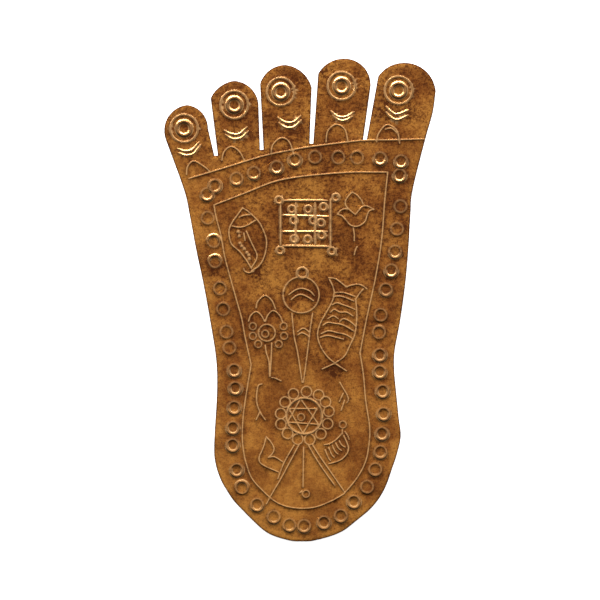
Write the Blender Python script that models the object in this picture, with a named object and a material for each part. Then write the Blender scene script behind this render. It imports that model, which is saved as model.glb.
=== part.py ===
"""An embossed copper foot plate, the left foot of a pair, seen from above with the toes up.

It is one sheet, cut to a foot's outline with snips and then raised from behind: ring punches, chased lines
and emblems stand up on the face, and the back is hollow under each of them. Metres, +Z up, toes towards +Y and
the big toe towards +X. The back of the flat sheet lies on z = 0, and the outline's box is centred on the
origin.
"""

import math
from collections import namedtuple

import bpy
import numpy as np
from mathutils import Vector
from mathutils.geometry import delaunay_2d_cdt

# The sheet
FOOT_LENGTH = 0.127
FOOT_WIDTH = 0.0714
SHEET_THICKNESS = 0.0003
TOE_SLIT_WIDTH = 0.00095

# Ridges, as each tool raises them: height above the flat, and half of the width at the foot
LINE_HEIGHT = 0.00014
LINE_HALF_WIDTH = 0.00034
BAR_HEIGHT = 0.00018
BAR_HALF_WIDTH = 0.00048
DEEP_LINE_HEIGHT = 0.00020
DEEP_LINE_HALF_WIDTH = 0.00036
TOE_HOOP_HEIGHT = 0.00017
TOE_HOOP_HALF_WIDTH = 0.00033
TOE_DISC_HEIGHT = 0.00042
TOE_DISC_HALF_WIDTH = 0.00070
PUNCH_HEIGHT = 0.00026
PUNCH_HALF_WIDTH = 0.00056
SEED_HEIGHT = 0.00020
SEED_HALF_WIDTH = 0.00038
PETAL_HEIGHT = 0.00013
PETAL_HALF_WIDTH = 0.00034

# Radii at the crest of each ring
TOE_HOOP_RADIUS = 0.00363
TOE_DISC_RADIUS = 0.00185
PUNCH_RADIUS = 0.00160
SEED_RADIUS = 0.00092
LOTUS_HEART_RADIUS = 0.00220
MACE_RING_RADIUS = 0.00138
MACE_DISC_RADIUS = 0.00475
SUN_RADIUS = 0.00474
SUN_PETAL_RADIUS = 0.00137
SUN_PETAL_PATH_RADIUS = 0.00645

# How much nearer the heel the marks as a whole stand than their places say
MARKS_DROP = 0.0002

# Heights of the emblems, and the grid's two sides
GRID_WIDTH = 0.01302
GRID_HEIGHT = 0.01202
BUD_HEIGHT = 0.0092
CONCH_HEIGHT = 0.0166
MACE_HEIGHT = 0.0303
LOTUS_HEIGHT = 0.0142
FISH_HEIGHT = 0.0245
LEGS_HEIGHT = 0.0158
LEFT_HOOK_HEIGHT = 0.0095
RIGHT_HOOK_HEIGHT = 0.0074
GOAD_HEIGHT = 0.0095
COMB_HEIGHT = 0.0116

# How finely round things are cut
TOE_ARC_STEPS = 5
LARGE_RING_SIDES = 10
PUNCH_SIDES = 6
SEED_SIDES = 5
STRAIGHT_WITHIN = 0.00018
MERGE_WITHIN = 0.00012
DISHED_WITHIN = 0.0012

COPPER_COLOUR = (0.25, 0.10, 0.028, 1.0)
COPPER_ROUGHNESS = 0.38

Tool = namedtuple("Tool", "height half_width")
CHASER = Tool(LINE_HEIGHT, LINE_HALF_WIDTH)
BROAD_CHASER = Tool(BAR_HEIGHT, BAR_HALF_WIDTH)
DEEP_CHASER = Tool(DEEP_LINE_HEIGHT, DEEP_LINE_HALF_WIDTH)
TOE_HOOP = Tool(TOE_HOOP_HEIGHT, TOE_HOOP_HALF_WIDTH)
TOE_DISC = Tool(TOE_DISC_HEIGHT, TOE_DISC_HALF_WIDTH)
PUNCH = Tool(PUNCH_HEIGHT, PUNCH_HALF_WIDTH)
SEED = Tool(SEED_HEIGHT, SEED_HALF_WIDTH)
PETAL = Tool(PETAL_HEIGHT, PETAL_HALF_WIDTH)

Line = namedtuple("Line", "points tool")
Ring = namedtuple("Ring", "centre radius tool sides")

# Places on the foot are shares of FOOT_WIDTH from its middle and of FOOT_LENGTH from the heel.
# A bulge is an arc's rise over its chord, as a share of the chord.
Toe = namedtuple("Toe", "corner corner_bulge tip tip_bulge shoulder")
TOES = (
    Toe((-0.494, 0.832), 0.245, (-0.416, 0.904), 0.190, (-0.339, 0.856)),
    Toe((-0.329, 0.918), 0.130, (-0.243, 0.954), 0.183, (-0.153, 0.907)),
    Toe((-0.147, 0.948), 0.166, (-0.053, 0.987), 0.155, (0.043, 0.940)),
    Toe((0.067, 0.969), 0.136, (0.162, 1.000), 0.233, (0.259, 0.939)),
    Toe((0.288, 0.963), 0.114, (0.372, 0.991), 0.210, (0.500, 0.933)),
)
SLIT_ENDS = ((-0.309, 0.799), (-0.141, 0.811), (0.042, 0.824), (0.239, 0.832))

# From the toes to the heel
Section = namedtuple("Section", "height little_toe_side big_toe_side")
SECTIONS = (
    Section(0.889, None, 0.489),
    Section(0.832, None, 0.461),
    Section(0.728, -0.427, 0.415),
    Section(0.678, -0.407, 0.407),
    Section(0.603, -0.382, 0.399),
    Section(0.529, -0.354, 0.387),
    Section(0.454, -0.330, 0.368),
    Section(0.396, -0.313, 0.349),
    Section(0.355, -0.306, 0.347),
    Section(0.305, -0.306, 0.355),
    Section(0.255, -0.311, 0.364),
    Section(0.218, -0.315, 0.371),
    Section(0.181, -0.316, 0.357),
    Section(0.154, -0.308, 0.341),
    Section(0.127, -0.291, 0.325),
    Section(0.106, -0.270, 0.309),
    Section(0.085, -0.245, 0.286),
    Section(0.065, -0.212, 0.255),
    Section(0.044, -0.175, 0.210),
    Section(0.023, -0.134, 0.162),
    Section(0.011, -0.095, 0.114),
    Section(0.002, -0.040, 0.054),
    Section(0.000, -0.011, 0.026),
)

BAND_LINE = ((-0.409, 0.753), (-0.273, 0.776), (-0.133, 0.800), (-0.022, 0.813), (0.041, 0.819),
             (0.137, 0.826), (0.236, 0.832), (0.347, 0.833), (0.461, 0.835))
FRAME_LINES = {
    "toe end": ((-0.317, 0.698), (-0.206, 0.722), (-0.103, 0.745), (-0.022, 0.755), (0.089, 0.762),
                (0.199, 0.766), (0.323, 0.766)),
    "instep": ((0.323, 0.766), (0.312, 0.707), (0.302, 0.634), (0.286, 0.572), (0.267, 0.518),
               (0.245, 0.462), (0.221, 0.392)),
    "inner heel": ((0.221, 0.392), (0.234, 0.344), (0.242, 0.293), (0.256, 0.241), (0.255, 0.208),
                   (0.242, 0.168), (0.210, 0.133), (0.162, 0.100)),
    "heel": ((0.162, 0.100), (0.118, 0.086), (0.052, 0.072), (-0.022, 0.071), (-0.085, 0.082),
             (-0.140, 0.108), (-0.180, 0.135), (-0.204, 0.174)),
    "outer heel": ((-0.204, 0.174), (-0.212, 0.210), (-0.210, 0.255), (-0.199, 0.303), (-0.180, 0.367)),
    "outer side": ((-0.180, 0.367), (-0.203, 0.427), (-0.214, 0.461), (-0.233, 0.500), (-0.259, 0.552),
                   (-0.278, 0.593), (-0.291, 0.634), (-0.308, 0.671), (-0.317, 0.698)),
}

PUNCH_ROWS = {
    "toe end": ((-0.342, 0.719), (-0.313, 0.736), (-0.234, 0.751), (-0.170, 0.763), (-0.086, 0.775),
                (-0.019, 0.790), (0.055, 0.796), (0.141, 0.795), (0.210, 0.795), (0.295, 0.793),
                (0.372, 0.787), (0.367, 0.758)),
    "little toe side": ((-0.340, 0.670), (-0.318, 0.622), (-0.313, 0.580), (-0.295, 0.524),
                        (-0.283, 0.481), (-0.271, 0.434), (-0.260, 0.401), (-0.242, 0.354),
                        (-0.238, 0.317), (-0.242, 0.277), (-0.247, 0.235), (-0.248, 0.199),
                        (-0.233, 0.148)),
    "heel": ((-0.214, 0.112), (-0.158, 0.076), (-0.097, 0.051), (-0.039, 0.034), (0.015, 0.032),
             (0.088, 0.039), (0.150, 0.053), (0.198, 0.082), (0.247, 0.113)),
    "big toe side": ((0.277, 0.149), (0.296, 0.185), (0.302, 0.223), (0.308, 0.264), (0.304, 0.311),
                     (0.294, 0.351), (0.294, 0.386), (0.291, 0.433), (0.297, 0.469), (0.316, 0.521),
                     (0.336, 0.561), (0.350, 0.600), (0.357, 0.647), (0.370, 0.694)),
}

# On each toe a hooped ring, two hanging arcs and an arch, which the big toe has twice
ToeMarks = namedtuple("ToeMarks", "ring hanging_arcs arches")
TOE_MARKS = (
    ToeMarks((-0.427, 0.857), (
        ((-0.451, 0.815), (-0.425, 0.810), (-0.397, 0.813), (-0.371, 0.829)),
        ((-0.447, 0.806), (-0.420, 0.801), (-0.391, 0.805), (-0.366, 0.823)),
    ), (
        ((-0.418, 0.761), (-0.414, 0.778), (-0.391, 0.789), (-0.354, 0.778), (-0.333, 0.768)),
    )),
    ToeMarks((-0.242, 0.906), (
        ((-0.279, 0.853), (-0.252, 0.845), (-0.222, 0.846), (-0.195, 0.860)),
        ((-0.274, 0.844), (-0.248, 0.835), (-0.215, 0.838), (-0.191, 0.851)),
    ), (
        ((-0.288, 0.790), (-0.280, 0.808), (-0.255, 0.819), (-0.225, 0.810), (-0.204, 0.790)),
    )),
    ToeMarks((-0.071, 0.933), (
        ((-0.082, 0.880), (-0.056, 0.870), (-0.024, 0.870), (0.002, 0.883)),
        ((-0.078, 0.869), (-0.054, 0.859), (-0.022, 0.860), (0.005, 0.874)),
    ), (
        ((-0.107, 0.803), (-0.100, 0.823), (-0.070, 0.837), (-0.040, 0.829), (-0.021, 0.800)),
    )),
    ToeMarks((0.153, 0.945), (
        ((0.114, 0.893), (0.137, 0.882), (0.169, 0.881), (0.199, 0.891)),
        ((0.121, 0.884), (0.144, 0.874), (0.169, 0.874), (0.193, 0.882)),
    ), (
        ((0.096, 0.829), (0.102, 0.851), (0.132, 0.865), (0.165, 0.855), (0.177, 0.829)),
    )),
    ToeMarks((0.363, 0.936), (
        ((0.317, 0.902), (0.337, 0.891), (0.358, 0.886), (0.400, 0.895)),
        ((0.317, 0.891), (0.337, 0.879), (0.360, 0.875), (0.398, 0.884)),
    ), (
        ((0.283, 0.829), (0.288, 0.845), (0.319, 0.864), (0.356, 0.853), (0.367, 0.826)),
        ((0.314, 0.855), (0.337, 0.857), (0.358, 0.847)),
    )),
)

# The nine-cell grid, in shares of its width and height from its middle
GRID_CENTRE = (0.021, 0.660)
GRID_BARS = {
    "top": ((-0.46, 0.50), (0.43, 0.50)),
    "bottom": ((-0.46, -0.49), (0.52, -0.51)),
    "left": ((-0.51, 0.42), (-0.51, -0.46)),
    "right": ((0.50, 0.53), (0.50, -0.48)),
}
GRID_LINES = {
    "left column": ((-0.20, 0.45), (-0.21, -0.46)),
    "right column": ((0.19, 0.45), (0.19, -0.46)),
    "upper row": ((-0.48, 0.18), (0.45, 0.15)),
    "lower row": ((-0.48, -0.18), (0.43, -0.18)),
}
GRID_CORNER_RINGS = ((-0.54, 0.51), (0.61, 0.57), (-0.52, -0.59), (0.53, -0.61))
GRID_CELL_RINGS = ((-0.28, 0.31), (0.05, 0.31), (0.36, 0.36), (-0.24, 0.06), (0.15, 0.06), (0.31, 0.01),
                   (-0.23, -0.34), (0.04, -0.35), (0.32, -0.26))

# The emblems' strokes, in shares of each emblem's height from its middle
BUD_CENTRE = (0.205, 0.689)
BUD = {
    "left side": ((-0.10, 0.50), (-0.24, 0.34), (-0.30, 0.19), (-0.23, 0.04), (-0.01, -0.15)),
    "right side": ((-0.10, 0.50), (0.06, 0.39), (0.16, 0.27), (0.21, 0.16)),
    "right sepal": ((-0.01, -0.15), (0.09, -0.03), (0.19, 0.08), (0.30, 0.10), (0.41, 0.06), (0.52, 0.00)),
    "cup": ((0.52, 0.00), (0.39, -0.04), (0.33, -0.16), (0.27, -0.34), (0.14, -0.45), (0.00, -0.49),
            (-0.16, -0.44), (-0.29, -0.29), (-0.40, -0.18), (-0.52, -0.14)),
    "left sepal": ((-0.52, -0.14), (-0.44, -0.04), (-0.34, 0.01), (-0.24, 0.01), (-0.14, -0.03)),
    "stem": ((-0.07, -0.53), (-0.04, -0.70), (-0.04, -0.90)),
    "stem foot": ((0.04, -1.06), (-0.01, -1.17), (-0.04, -1.30)),
}
CONCH_CENTRE = (-0.193, 0.627)
CONCH = {
    "right side": ((-0.08, 0.50), (0.01, 0.44), (0.10, 0.36), (0.19, 0.26), (0.26, 0.12), (0.30, -0.02),
                   (0.29, -0.17), (0.25, -0.31), (0.17, -0.43), (0.06, -0.50)),
    "left side": ((-0.08, 0.50), (-0.15, 0.40), (-0.23, 0.29), (-0.29, 0.17), (-0.29, 0.04),
                  (-0.25, -0.08), (-0.12, -0.20), (-0.02, -0.33), (0.06, -0.46)),
    "tip": ((-0.06, -0.46), (-0.05, -0.50), (0.02, -0.53), (0.10, -0.50)),
    "bar": ((-0.13, 0.35), (-0.06, 0.38), (0.04, 0.39)),
    "brow": ((-0.24, 0.21), (-0.13, 0.19), (-0.01, 0.22), (0.12, 0.30)),
    "mouth": ((-0.02, 0.13), (0.02, 0.04), (0.07, -0.07), (0.12, -0.17), (0.15, -0.25), (0.13, -0.34),
              (0.06, -0.45)),
    "lip": ((-0.06, 0.10), (-0.04, -0.02)),
}
MACE_CENTRE = (0.004, 0.450)
MACE_RING_PLACE = (0.01, 0.45)
MACE_DISC_PLACE = (0.00, 0.26)
MACE = {
    "upper arc": ((-0.105, 0.262), (-0.045, 0.304), (0.015, 0.315), (0.080, 0.290), (0.115, 0.252)),
    "lower arc": ((-0.086, 0.219), (-0.039, 0.254), (0.004, 0.263), (0.058, 0.241), (0.109, 0.208)),
    "shaft left": ((-0.08, 0.10), (-0.06, -0.10), (-0.03, -0.24), (0.01, -0.50)),
    "shaft right": ((0.10, 0.10), (0.08, -0.03), (0.06, -0.20), (0.02, -0.50)),
    "upper collar": ((-0.03, -0.06), (0.02, -0.03), (0.07, -0.06)),
    "lower collar": ((-0.03, -0.09), (0.01, -0.07), (0.07, -0.10)),
}
LOTUS_CENTRE = (-0.124, 0.457)
LOTUS_EYE_PLACE = (-0.02, -0.23)
LOTUS_HEART_PLACE = (0.01, -0.21)
LOTUS_SEEDS = ((-0.25, -0.09), (-0.25, -0.27), (-0.15, -0.42), (0.23, -0.42), (0.33, -0.27), (0.32, -0.09))
LOTUS = {
    "top petal": ((-0.19, 0.25), (-0.16, 0.37), (-0.03, 0.48), (0.10, 0.39), (0.17, 0.23)),
    "left petal": ((-0.33, 0.00), (-0.29, 0.11), (-0.19, 0.18), (-0.10, 0.12), (-0.03, 0.00)),
    "right petal": ((-0.02, 0.00), (0.03, 0.12), (0.13, 0.20), (0.24, 0.12), (0.30, 0.00)),
    "stem left": ((-0.02, -0.44), (0.00, -0.58), (0.05, -0.75), (0.06, -1.02)),
    "stem right": ((0.10, -0.40), (0.09, -0.66), (0.07, -1.02)),
    "hook": ((0.10, -1.04), (0.16, -1.05), (0.27, -1.10)),
}
FISH_CENTRE = (0.140, 0.451)
FISH = {
    "left tail lobe": ((-0.10, 0.50), (-0.03, 0.49), (0.03, 0.45), (0.09, 0.40)),
    "right tail lobe": ((0.09, 0.40), (0.14, 0.42), (0.22, 0.43), (0.27, 0.41), (0.31, 0.38)),
    "left tail edge": ((-0.09, 0.48), (-0.06, 0.42), (-0.04, 0.35)),
    "right tail edge": ((0.27, 0.38), (0.23, 0.33), (0.19, 0.27)),
    "left side": ((-0.04, 0.35), (-0.06, 0.25), (-0.13, 0.12), (-0.19, 0.01), (-0.22, -0.11),
                  (-0.19, -0.23), (-0.12, -0.34), (-0.03, -0.42), (0.09, -0.50)),
    "right side": ((0.19, 0.27), (0.20, 0.15), (0.20, 0.04), (0.18, -0.11), (0.13, -0.22),
                   (0.07, -0.34), (-0.04, -0.42), (-0.17, -0.48)),
    "first scales": ((-0.03, 0.34), (0.06, 0.34), (0.18, 0.30)),
    "second scales": ((-0.05, 0.30), (0.04, 0.30), (0.17, 0.25)),
    "third scales": ((-0.06, 0.21), (-0.01, 0.23), (0.05, 0.21), (0.11, 0.19), (0.18, 0.16)),
    "fourth scales": ((-0.08, 0.13), (-0.04, 0.16), (0.02, 0.13), (0.09, 0.13), (0.16, 0.09)),
    "fifth scales": ((-0.11, 0.06), (-0.05, 0.09), (0.00, 0.06)),
    "sixth scales": ((0.02, 0.03), (0.06, 0.06), (0.13, 0.03), (0.19, -0.02)),
    "seventh scales": ((-0.16, -0.01), (-0.11, 0.02), (-0.04, 0.01), (0.03, 0.00), (0.10, -0.03),
                       (0.18, -0.08)),
    "eighth scales": ((-0.18, -0.10), (-0.10, -0.07), (-0.01, -0.09), (0.08, -0.11), (0.15, -0.15)),
    "ninth scales": ((-0.19, -0.14), (-0.11, -0.12), (-0.02, -0.14), (0.06, -0.16)),
}

# The sun's star is in shares of SUN_RADIUS. Its petals are struck freely: an angle in degrees, anticlockwise
# from the big toe's side, and the distance from the middle as a share of SUN_PETAL_PATH_RADIUS.
Petal = namedtuple("Petal", "angle distance")
SUN_CENTRE = (0.016, 0.261)
SUN_EYE_PLACE = (-0.18, -0.06)
SUN_STAR = {
    "upright triangle": ((-0.21, 0.96), (-0.93, -0.34), (0.79, -0.46), (-0.21, 0.96)),
    "hanging triangle": ((-0.87, 0.41), (0.71, 0.41), (-0.07, -0.96), (-0.87, 0.41)),
}
SUN_PETALS = (
    Petal(11, 1.02), Petal(34, 1.04), Petal(56, 1.04), Petal(85, 1.00), Petal(116, 1.01),
    Petal(144, 0.97), Petal(174, 0.97), Petal(199, 1.01), Petal(226, 0.98), Petal(254, 0.98),
    Petal(283, 0.98), Petal(313, 0.99), Petal(342, 1.00),
)

LEGS_CENTRE = (0.020, 0.141)
LEGS_RING_PLACE = (0.01, -0.33)
LEGS = {
    "left inner": ((-0.19, 0.48), (-0.35, 0.20), (-0.46, -0.08)),
    "left outer": ((-0.10, 0.50), (-0.26, 0.20), (-0.41, -0.08), (-0.53, -0.28), (-0.65, -0.50)),
    "right inner": ((0.05, 0.48), (0.17, 0.27), (0.33, 0.03), (0.49, -0.19)),
    "right outer": ((0.11, 0.50), (0.25, 0.28), (0.41, 0.05), (0.66, -0.31)),
    "middle": ((-0.03, 0.45), (-0.04, -0.22)),
}
LEFT_HOOK_CENTRE = (-0.144, 0.290)
LEFT_HOOK = {
    "hook": ((0.03, 0.50), (-0.07, 0.46), (-0.11, 0.28), (-0.12, 0.06), (-0.08, -0.14), (0.01, -0.33),
             (0.12, -0.49)),
    "branch": ((-0.02, -0.26), (-0.07, -0.36), (-0.13, -0.49)),
}
RIGHT_HOOK_CENTRE = (0.162, 0.302)
RIGHT_HOOK = {
    "hook": ((-0.15, 0.50), (-0.03, 0.29), (0.11, 0.05), (0.16, -0.12), (0.11, -0.23)),
    "upper branch": ((-0.03, 0.11), (-0.16, -0.19)),
    "lower branch": ((0.02, -0.14), (-0.10, -0.50)),
}
GOAD_CENTRE = (-0.109, 0.181)
GOAD = {
    "right edge": ((-0.12, 0.50), (0.01, 0.36), (0.10, 0.18), (0.06, 0.04), (-0.06, -0.08)),
    "upper bar": ((-0.06, -0.08), (0.11, -0.06), (0.33, -0.19)),
    "left edge": ((-0.13, 0.46), (-0.17, 0.28), (-0.24, 0.10), (-0.31, -0.06), (-0.29, -0.21),
                  (-0.14, -0.32), (0.22, -0.48)),
}
COMB_CENTRE = (0.135, 0.206)
COMB_KNOB_PLACE = (0.14, 0.41)
COMB = {
    "stem": ((0.13, 0.32), (0.13, 0.20)),
    "back": ((-0.28, -0.05), (-0.15, -0.02), (-0.01, 0.07), (0.12, 0.21)),
    "side": ((0.19, 0.25), (0.25, 0.16), (0.28, 0.07)),
    "inner side": ((0.16, 0.16), (0.22, 0.03), (0.27, -0.10)),
    "belly": ((0.27, -0.11), (0.24, -0.24), (0.11, -0.38), (-0.03, -0.44), (-0.18, -0.48)),
}
COMB_TEETH = 5
COMB_FIRST_TOOTH = ((-0.26, -0.16), (-0.19, -0.34), (-0.14, -0.41))
COMB_LAST_TOOTH = ((0.06, 0.04), (0.12, -0.06), (0.19, -0.10))


def on_foot(place):
    """The point at these shares of the foot's width and length."""
    return Vector((place[0] * FOOT_WIDTH, (place[1] - 0.5) * FOOT_LENGTH))


def on_face(place):
    """The point at these shares for a mark: the marks as a whole stand a little nearer the heel."""
    return on_foot(place) - Vector((0, MARKS_DROP))


def placed(place, centre, height, width=None):
    """The point at these shares of a drawing that stands at centre on the foot."""
    across = height if width is None else width
    return on_face(centre) + Vector((place[0] * across, place[1] * height))


def turned(x, y, degrees):
    angle = math.radians(degrees)
    return Vector((x * math.cos(angle) - y * math.sin(angle), x * math.sin(angle) + y * math.cos(angle)))


def arc(start, end, bulge, steps):
    """Points from start up to, not including, end, on an arc that bulges to the left of the way there."""
    chord = end - start
    half = chord.length / 2
    rise = bulge * chord.length
    radius = (half * half + rise * rise) / (2 * rise)
    left = Vector((-chord.y, chord.x)).normalized()
    centre = (start + end) / 2 + left * (rise - radius)
    spread = 2 * math.asin(half / radius)
    spoke = start - centre
    return [centre + turned(spoke.x, spoke.y, -math.degrees(spread * k / steps)) for k in range(steps)]


def toe_outline(toe):
    corner, tip, shoulder = (on_foot(place) for place in (toe.corner, toe.tip, toe.shoulder))
    rise = arc(corner, tip, toe.corner_bulge, TOE_ARC_STEPS)
    fall = arc(tip, shoulder, toe.tip_bulge, TOE_ARC_STEPS)
    return rise + fall + [shoulder]


def slit(end):
    """The two corners at the inner end of the cut between two toes."""
    half = Vector((TOE_SLIT_WIDTH / 2, 0))
    return [on_foot(end) - half, on_foot(end) + half]


def foot_outline():
    """The cut edge, clockwise from the little toe's outer corner."""
    points = []
    for number, toe in enumerate(TOES):
        points += toe_outline(toe)
        if number < len(SLIT_ENDS):
            points += slit(SLIT_ENDS[number])
    points += [on_foot((section.big_toe_side, section.height)) for section in SECTIONS]
    points += [on_foot((section.little_toe_side, section.height)) for section in reversed(SECTIONS)
               if section.little_toe_side is not None]
    return points


def drawn(strokes, centre, height, tool=CHASER):
    return [Line([placed(place, centre, height) for place in stroke], tool) for stroke in strokes.values()]


def seed(place, centre, height, width=None):
    return Ring(placed(place, centre, height, width), SEED_RADIUS, SEED, SEED_SIDES)


def chased(stroke, tool=CHASER):
    """A line whose places are shares of the whole foot."""
    return Line([on_face(place) for place in stroke], tool)


def toe_marks():
    marks = []
    for toe in TOE_MARKS:
        centre = on_face(toe.ring)
        marks.append(Ring(centre, TOE_HOOP_RADIUS, TOE_HOOP, LARGE_RING_SIDES))
        marks.append(Ring(centre, TOE_DISC_RADIUS, TOE_DISC, PUNCH_SIDES))
        marks += [chased(stroke, DEEP_CHASER) for stroke in toe.hanging_arcs]
        marks += [chased(stroke) for stroke in toe.arches]
    return marks


def border():
    lines = [chased(stroke) for stroke in (BAND_LINE, *FRAME_LINES.values())]
    punches = [Ring(on_foot(place), PUNCH_RADIUS, PUNCH, PUNCH_SIDES)
               for row in PUNCH_ROWS.values() for place in row]
    return lines + punches


def grid():
    marks = []
    for strokes, tool in ((GRID_BARS, BROAD_CHASER), (GRID_LINES, CHASER)):
        for stroke in strokes.values():
            points = [placed(place, GRID_CENTRE, GRID_HEIGHT, GRID_WIDTH) for place in stroke]
            marks.append(Line(points, tool))
    marks += [seed(place, GRID_CENTRE, GRID_HEIGHT, GRID_WIDTH)
              for place in GRID_CORNER_RINGS + GRID_CELL_RINGS]
    return marks


def mace():
    ring = Ring(placed(MACE_RING_PLACE, MACE_CENTRE, MACE_HEIGHT), MACE_RING_RADIUS, SEED, PUNCH_SIDES)
    disc = Ring(placed(MACE_DISC_PLACE, MACE_CENTRE, MACE_HEIGHT), MACE_DISC_RADIUS, CHASER, LARGE_RING_SIDES)
    return drawn(MACE, MACE_CENTRE, MACE_HEIGHT) + [ring, disc]


def lotus():
    middle = placed(LOTUS_HEART_PLACE, LOTUS_CENTRE, LOTUS_HEIGHT)
    heart = Ring(middle, LOTUS_HEART_RADIUS, CHASER, PUNCH_SIDES)
    seeds = [seed(place, LOTUS_CENTRE, LOTUS_HEIGHT) for place in (LOTUS_EYE_PLACE,) + LOTUS_SEEDS]
    return drawn(LOTUS, LOTUS_CENTRE, LOTUS_HEIGHT) + [heart] + seeds


def sun():
    centre = on_face(SUN_CENTRE)
    petals = [Ring(centre + turned(petal.distance * SUN_PETAL_PATH_RADIUS, 0, petal.angle), SUN_PETAL_RADIUS,
                   PETAL, SEED_SIDES) for petal in SUN_PETALS]
    circle = Ring(centre, SUN_RADIUS, BROAD_CHASER, LARGE_RING_SIDES)
    eye = seed(SUN_EYE_PLACE, SUN_CENTRE, SUN_RADIUS)
    return drawn(SUN_STAR, SUN_CENTRE, SUN_RADIUS) + [circle, eye] + petals


def legs():
    return drawn(LEGS, LEGS_CENTRE, LEGS_HEIGHT) + [seed(LEGS_RING_PLACE, LEGS_CENTRE, LEGS_HEIGHT)]


def comb():
    """A toothed comb: the teeth step evenly from the first to the last."""
    teeth = {}
    for number in range(COMB_TEETH):
        share = number / (COMB_TEETH - 1)
        teeth[number] = [tuple(Vector(first).lerp(Vector(last), share))
                         for first, last in zip(COMB_FIRST_TOOTH, COMB_LAST_TOOTH)]
    marks = drawn(COMB, COMB_CENTRE, COMB_HEIGHT) + drawn(teeth, COMB_CENTRE, COMB_HEIGHT)
    return marks + [seed(COMB_KNOB_PLACE, COMB_CENTRE, COMB_HEIGHT)]


def all_marks():
    marks = toe_marks() + border() + grid() + mace() + lotus() + sun() + legs() + comb()
    marks += drawn(BUD, BUD_CENTRE, BUD_HEIGHT)
    marks += drawn(CONCH, CONCH_CENTRE, CONCH_HEIGHT)
    marks += drawn(FISH, FISH_CENTRE, FISH_HEIGHT)
    marks += drawn(LEFT_HOOK, LEFT_HOOK_CENTRE, LEFT_HOOK_HEIGHT)
    marks += drawn(RIGHT_HOOK, RIGHT_HOOK_CENTRE, RIGHT_HOOK_HEIGHT)
    marks += drawn(GOAD, GOAD_CENTRE, GOAD_HEIGHT)
    return marks


def straightened(points):
    """The points of a stroke without those that its neighbours' straight line already passes close to."""
    if len(points) < 3:
        return points
    chord = (points[-1] - points[0])
    if chord.length < MERGE_WITHIN:
        return points
    left = Vector((-chord.y, chord.x)).normalized()
    bows = [abs((point - points[0]).dot(left)) for point in points]
    widest = max(range(len(points)), key=bows.__getitem__)
    if bows[widest] < STRAIGHT_WITHIN:
        return [points[0], points[-1]]
    return straightened(points[:widest + 1])[:-1] + straightened(points[widest:])


def bank(points, offset):
    """The line at offset to the left of a stroke, mitred at its bends and run on past its ends."""
    ways = [(after - before).normalized() for before, after in zip(points, points[1:])]
    reach = abs(offset)
    line = []
    for number, point in enumerate(points):
        before = ways[max(number - 1, 0)]
        after = ways[min(number, len(ways) - 1)]
        across = Vector((-before.y - after.y, before.x + after.x))
        stretch = 2 / max(across.length_squared, 1)
        spot = point + across * offset * stretch
        if number == 0:
            spot -= after * reach
        if number == len(points) - 1:
            spot += before * reach
        line.append(spot)
    return line


def polygon(ring, radius):
    return [ring.centre + turned(radius, 0, 360 * k / ring.sides) for k in range(ring.sides)]


class Drawing:
    """Points and the edges that the sheet's faces must keep to."""

    def __init__(self):
        self.points = []
        self.edges = []

    def draw(self, points, closed=False):
        first = len(self.points)
        self.points += points
        numbers = list(range(first, first + len(points)))
        self.edges += zip(numbers, numbers[1:])
        if closed:
            self.edges.append((numbers[-1], numbers[0]))
        return numbers


def ridge_height(spots, marks):
    """The height of the tallest ridge over each spot, falling straight from a crest to its foot."""
    heights = np.zeros(len(spots))
    for mark in marks:
        if isinstance(mark, Ring):
            gaps = [abs(np.linalg.norm(spots - np.array(mark.centre), axis=1) - mark.radius)]
        else:
            gaps = [distance_to(spots, np.array(start), np.array(end))
                    for start, end in zip(mark.points, mark.points[1:])]
        for gap in gaps:
            heights = np.maximum(heights, mark.tool.height * (1 - gap / mark.tool.half_width))
    return heights


def distance_to(spots, start, end):
    run = end - start
    share = np.clip((spots - start) @ run / (run @ run), 0, 1)
    return np.linalg.norm(spots - start - share[:, None] * run, axis=1)


def sheet_faces(outline, marks):
    """Flat points and triangles that fill the outline and follow each ridge's crest and feet.

    A small ring is dished to a point in the middle.
    """
    drawing = Drawing()
    edge = drawing.draw(outline, closed=True)
    for mark in marks:
        if isinstance(mark, Ring):
            drawing.draw(polygon(mark, mark.radius + mark.tool.half_width), closed=True)
            drawing.draw(polygon(mark, mark.radius), closed=True)
            if mark.radius - mark.tool.half_width > DISHED_WITHIN:
                drawing.draw(polygon(mark, mark.radius - mark.tool.half_width), closed=True)
            else:
                drawing.draw([mark.centre])
        else:
            drawing.draw(mark.points)
            left = bank(mark.points, mark.tool.half_width)
            right = bank(mark.points, -mark.tool.half_width)
            drawing.draw(left + right[::-1], closed=True)
    points, _, faces, _, _, inside = delaunay_2d_cdt(
        drawing.points, drawing.edges, [edge[::-1]], 0, MERGE_WITHIN)
    kept = [face for face, within in zip(faces, inside) if within]
    used = sorted({number for face in kept for number in face})
    renumbered = {old: new for new, old in enumerate(used)}
    return np.array([points[number][:] for number in used]), [[renumbered[n] for n in face] for face in kept]


def wall_faces(faces, count):
    """The cut edge of the sheet, from the face down to the back."""
    ways = {(face[k - 1], face[k]) for face in faces for k in range(len(face))}
    return [(a, a + count, b + count, b) for a, b in sorted(ways) if (b, a) not in ways]


def foot_plate_mesh():
    """The sheet: the face, the back at the same points one thickness below, and the wall between them."""
    marks = [mark if isinstance(mark, Ring) else mark._replace(points=straightened(mark.points))
             for mark in all_marks()]
    flat, faces = sheet_faces(foot_outline(), marks)
    heights = ridge_height(flat, marks)
    flat -= (flat.min(axis=0) + flat.max(axis=0)) / 2
    count = len(flat)
    face = np.column_stack((flat, heights + SHEET_THICKNESS))
    back = np.column_stack((flat, heights))
    under = [[number + count for number in reversed(face)] for face in faces]
    mesh = bpy.data.meshes.new("foot_plate")
    mesh.from_pydata(np.vstack((face, back)).tolist(), [], faces + under + wall_faces(faces, count))
    mesh.validate()
    return mesh


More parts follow.
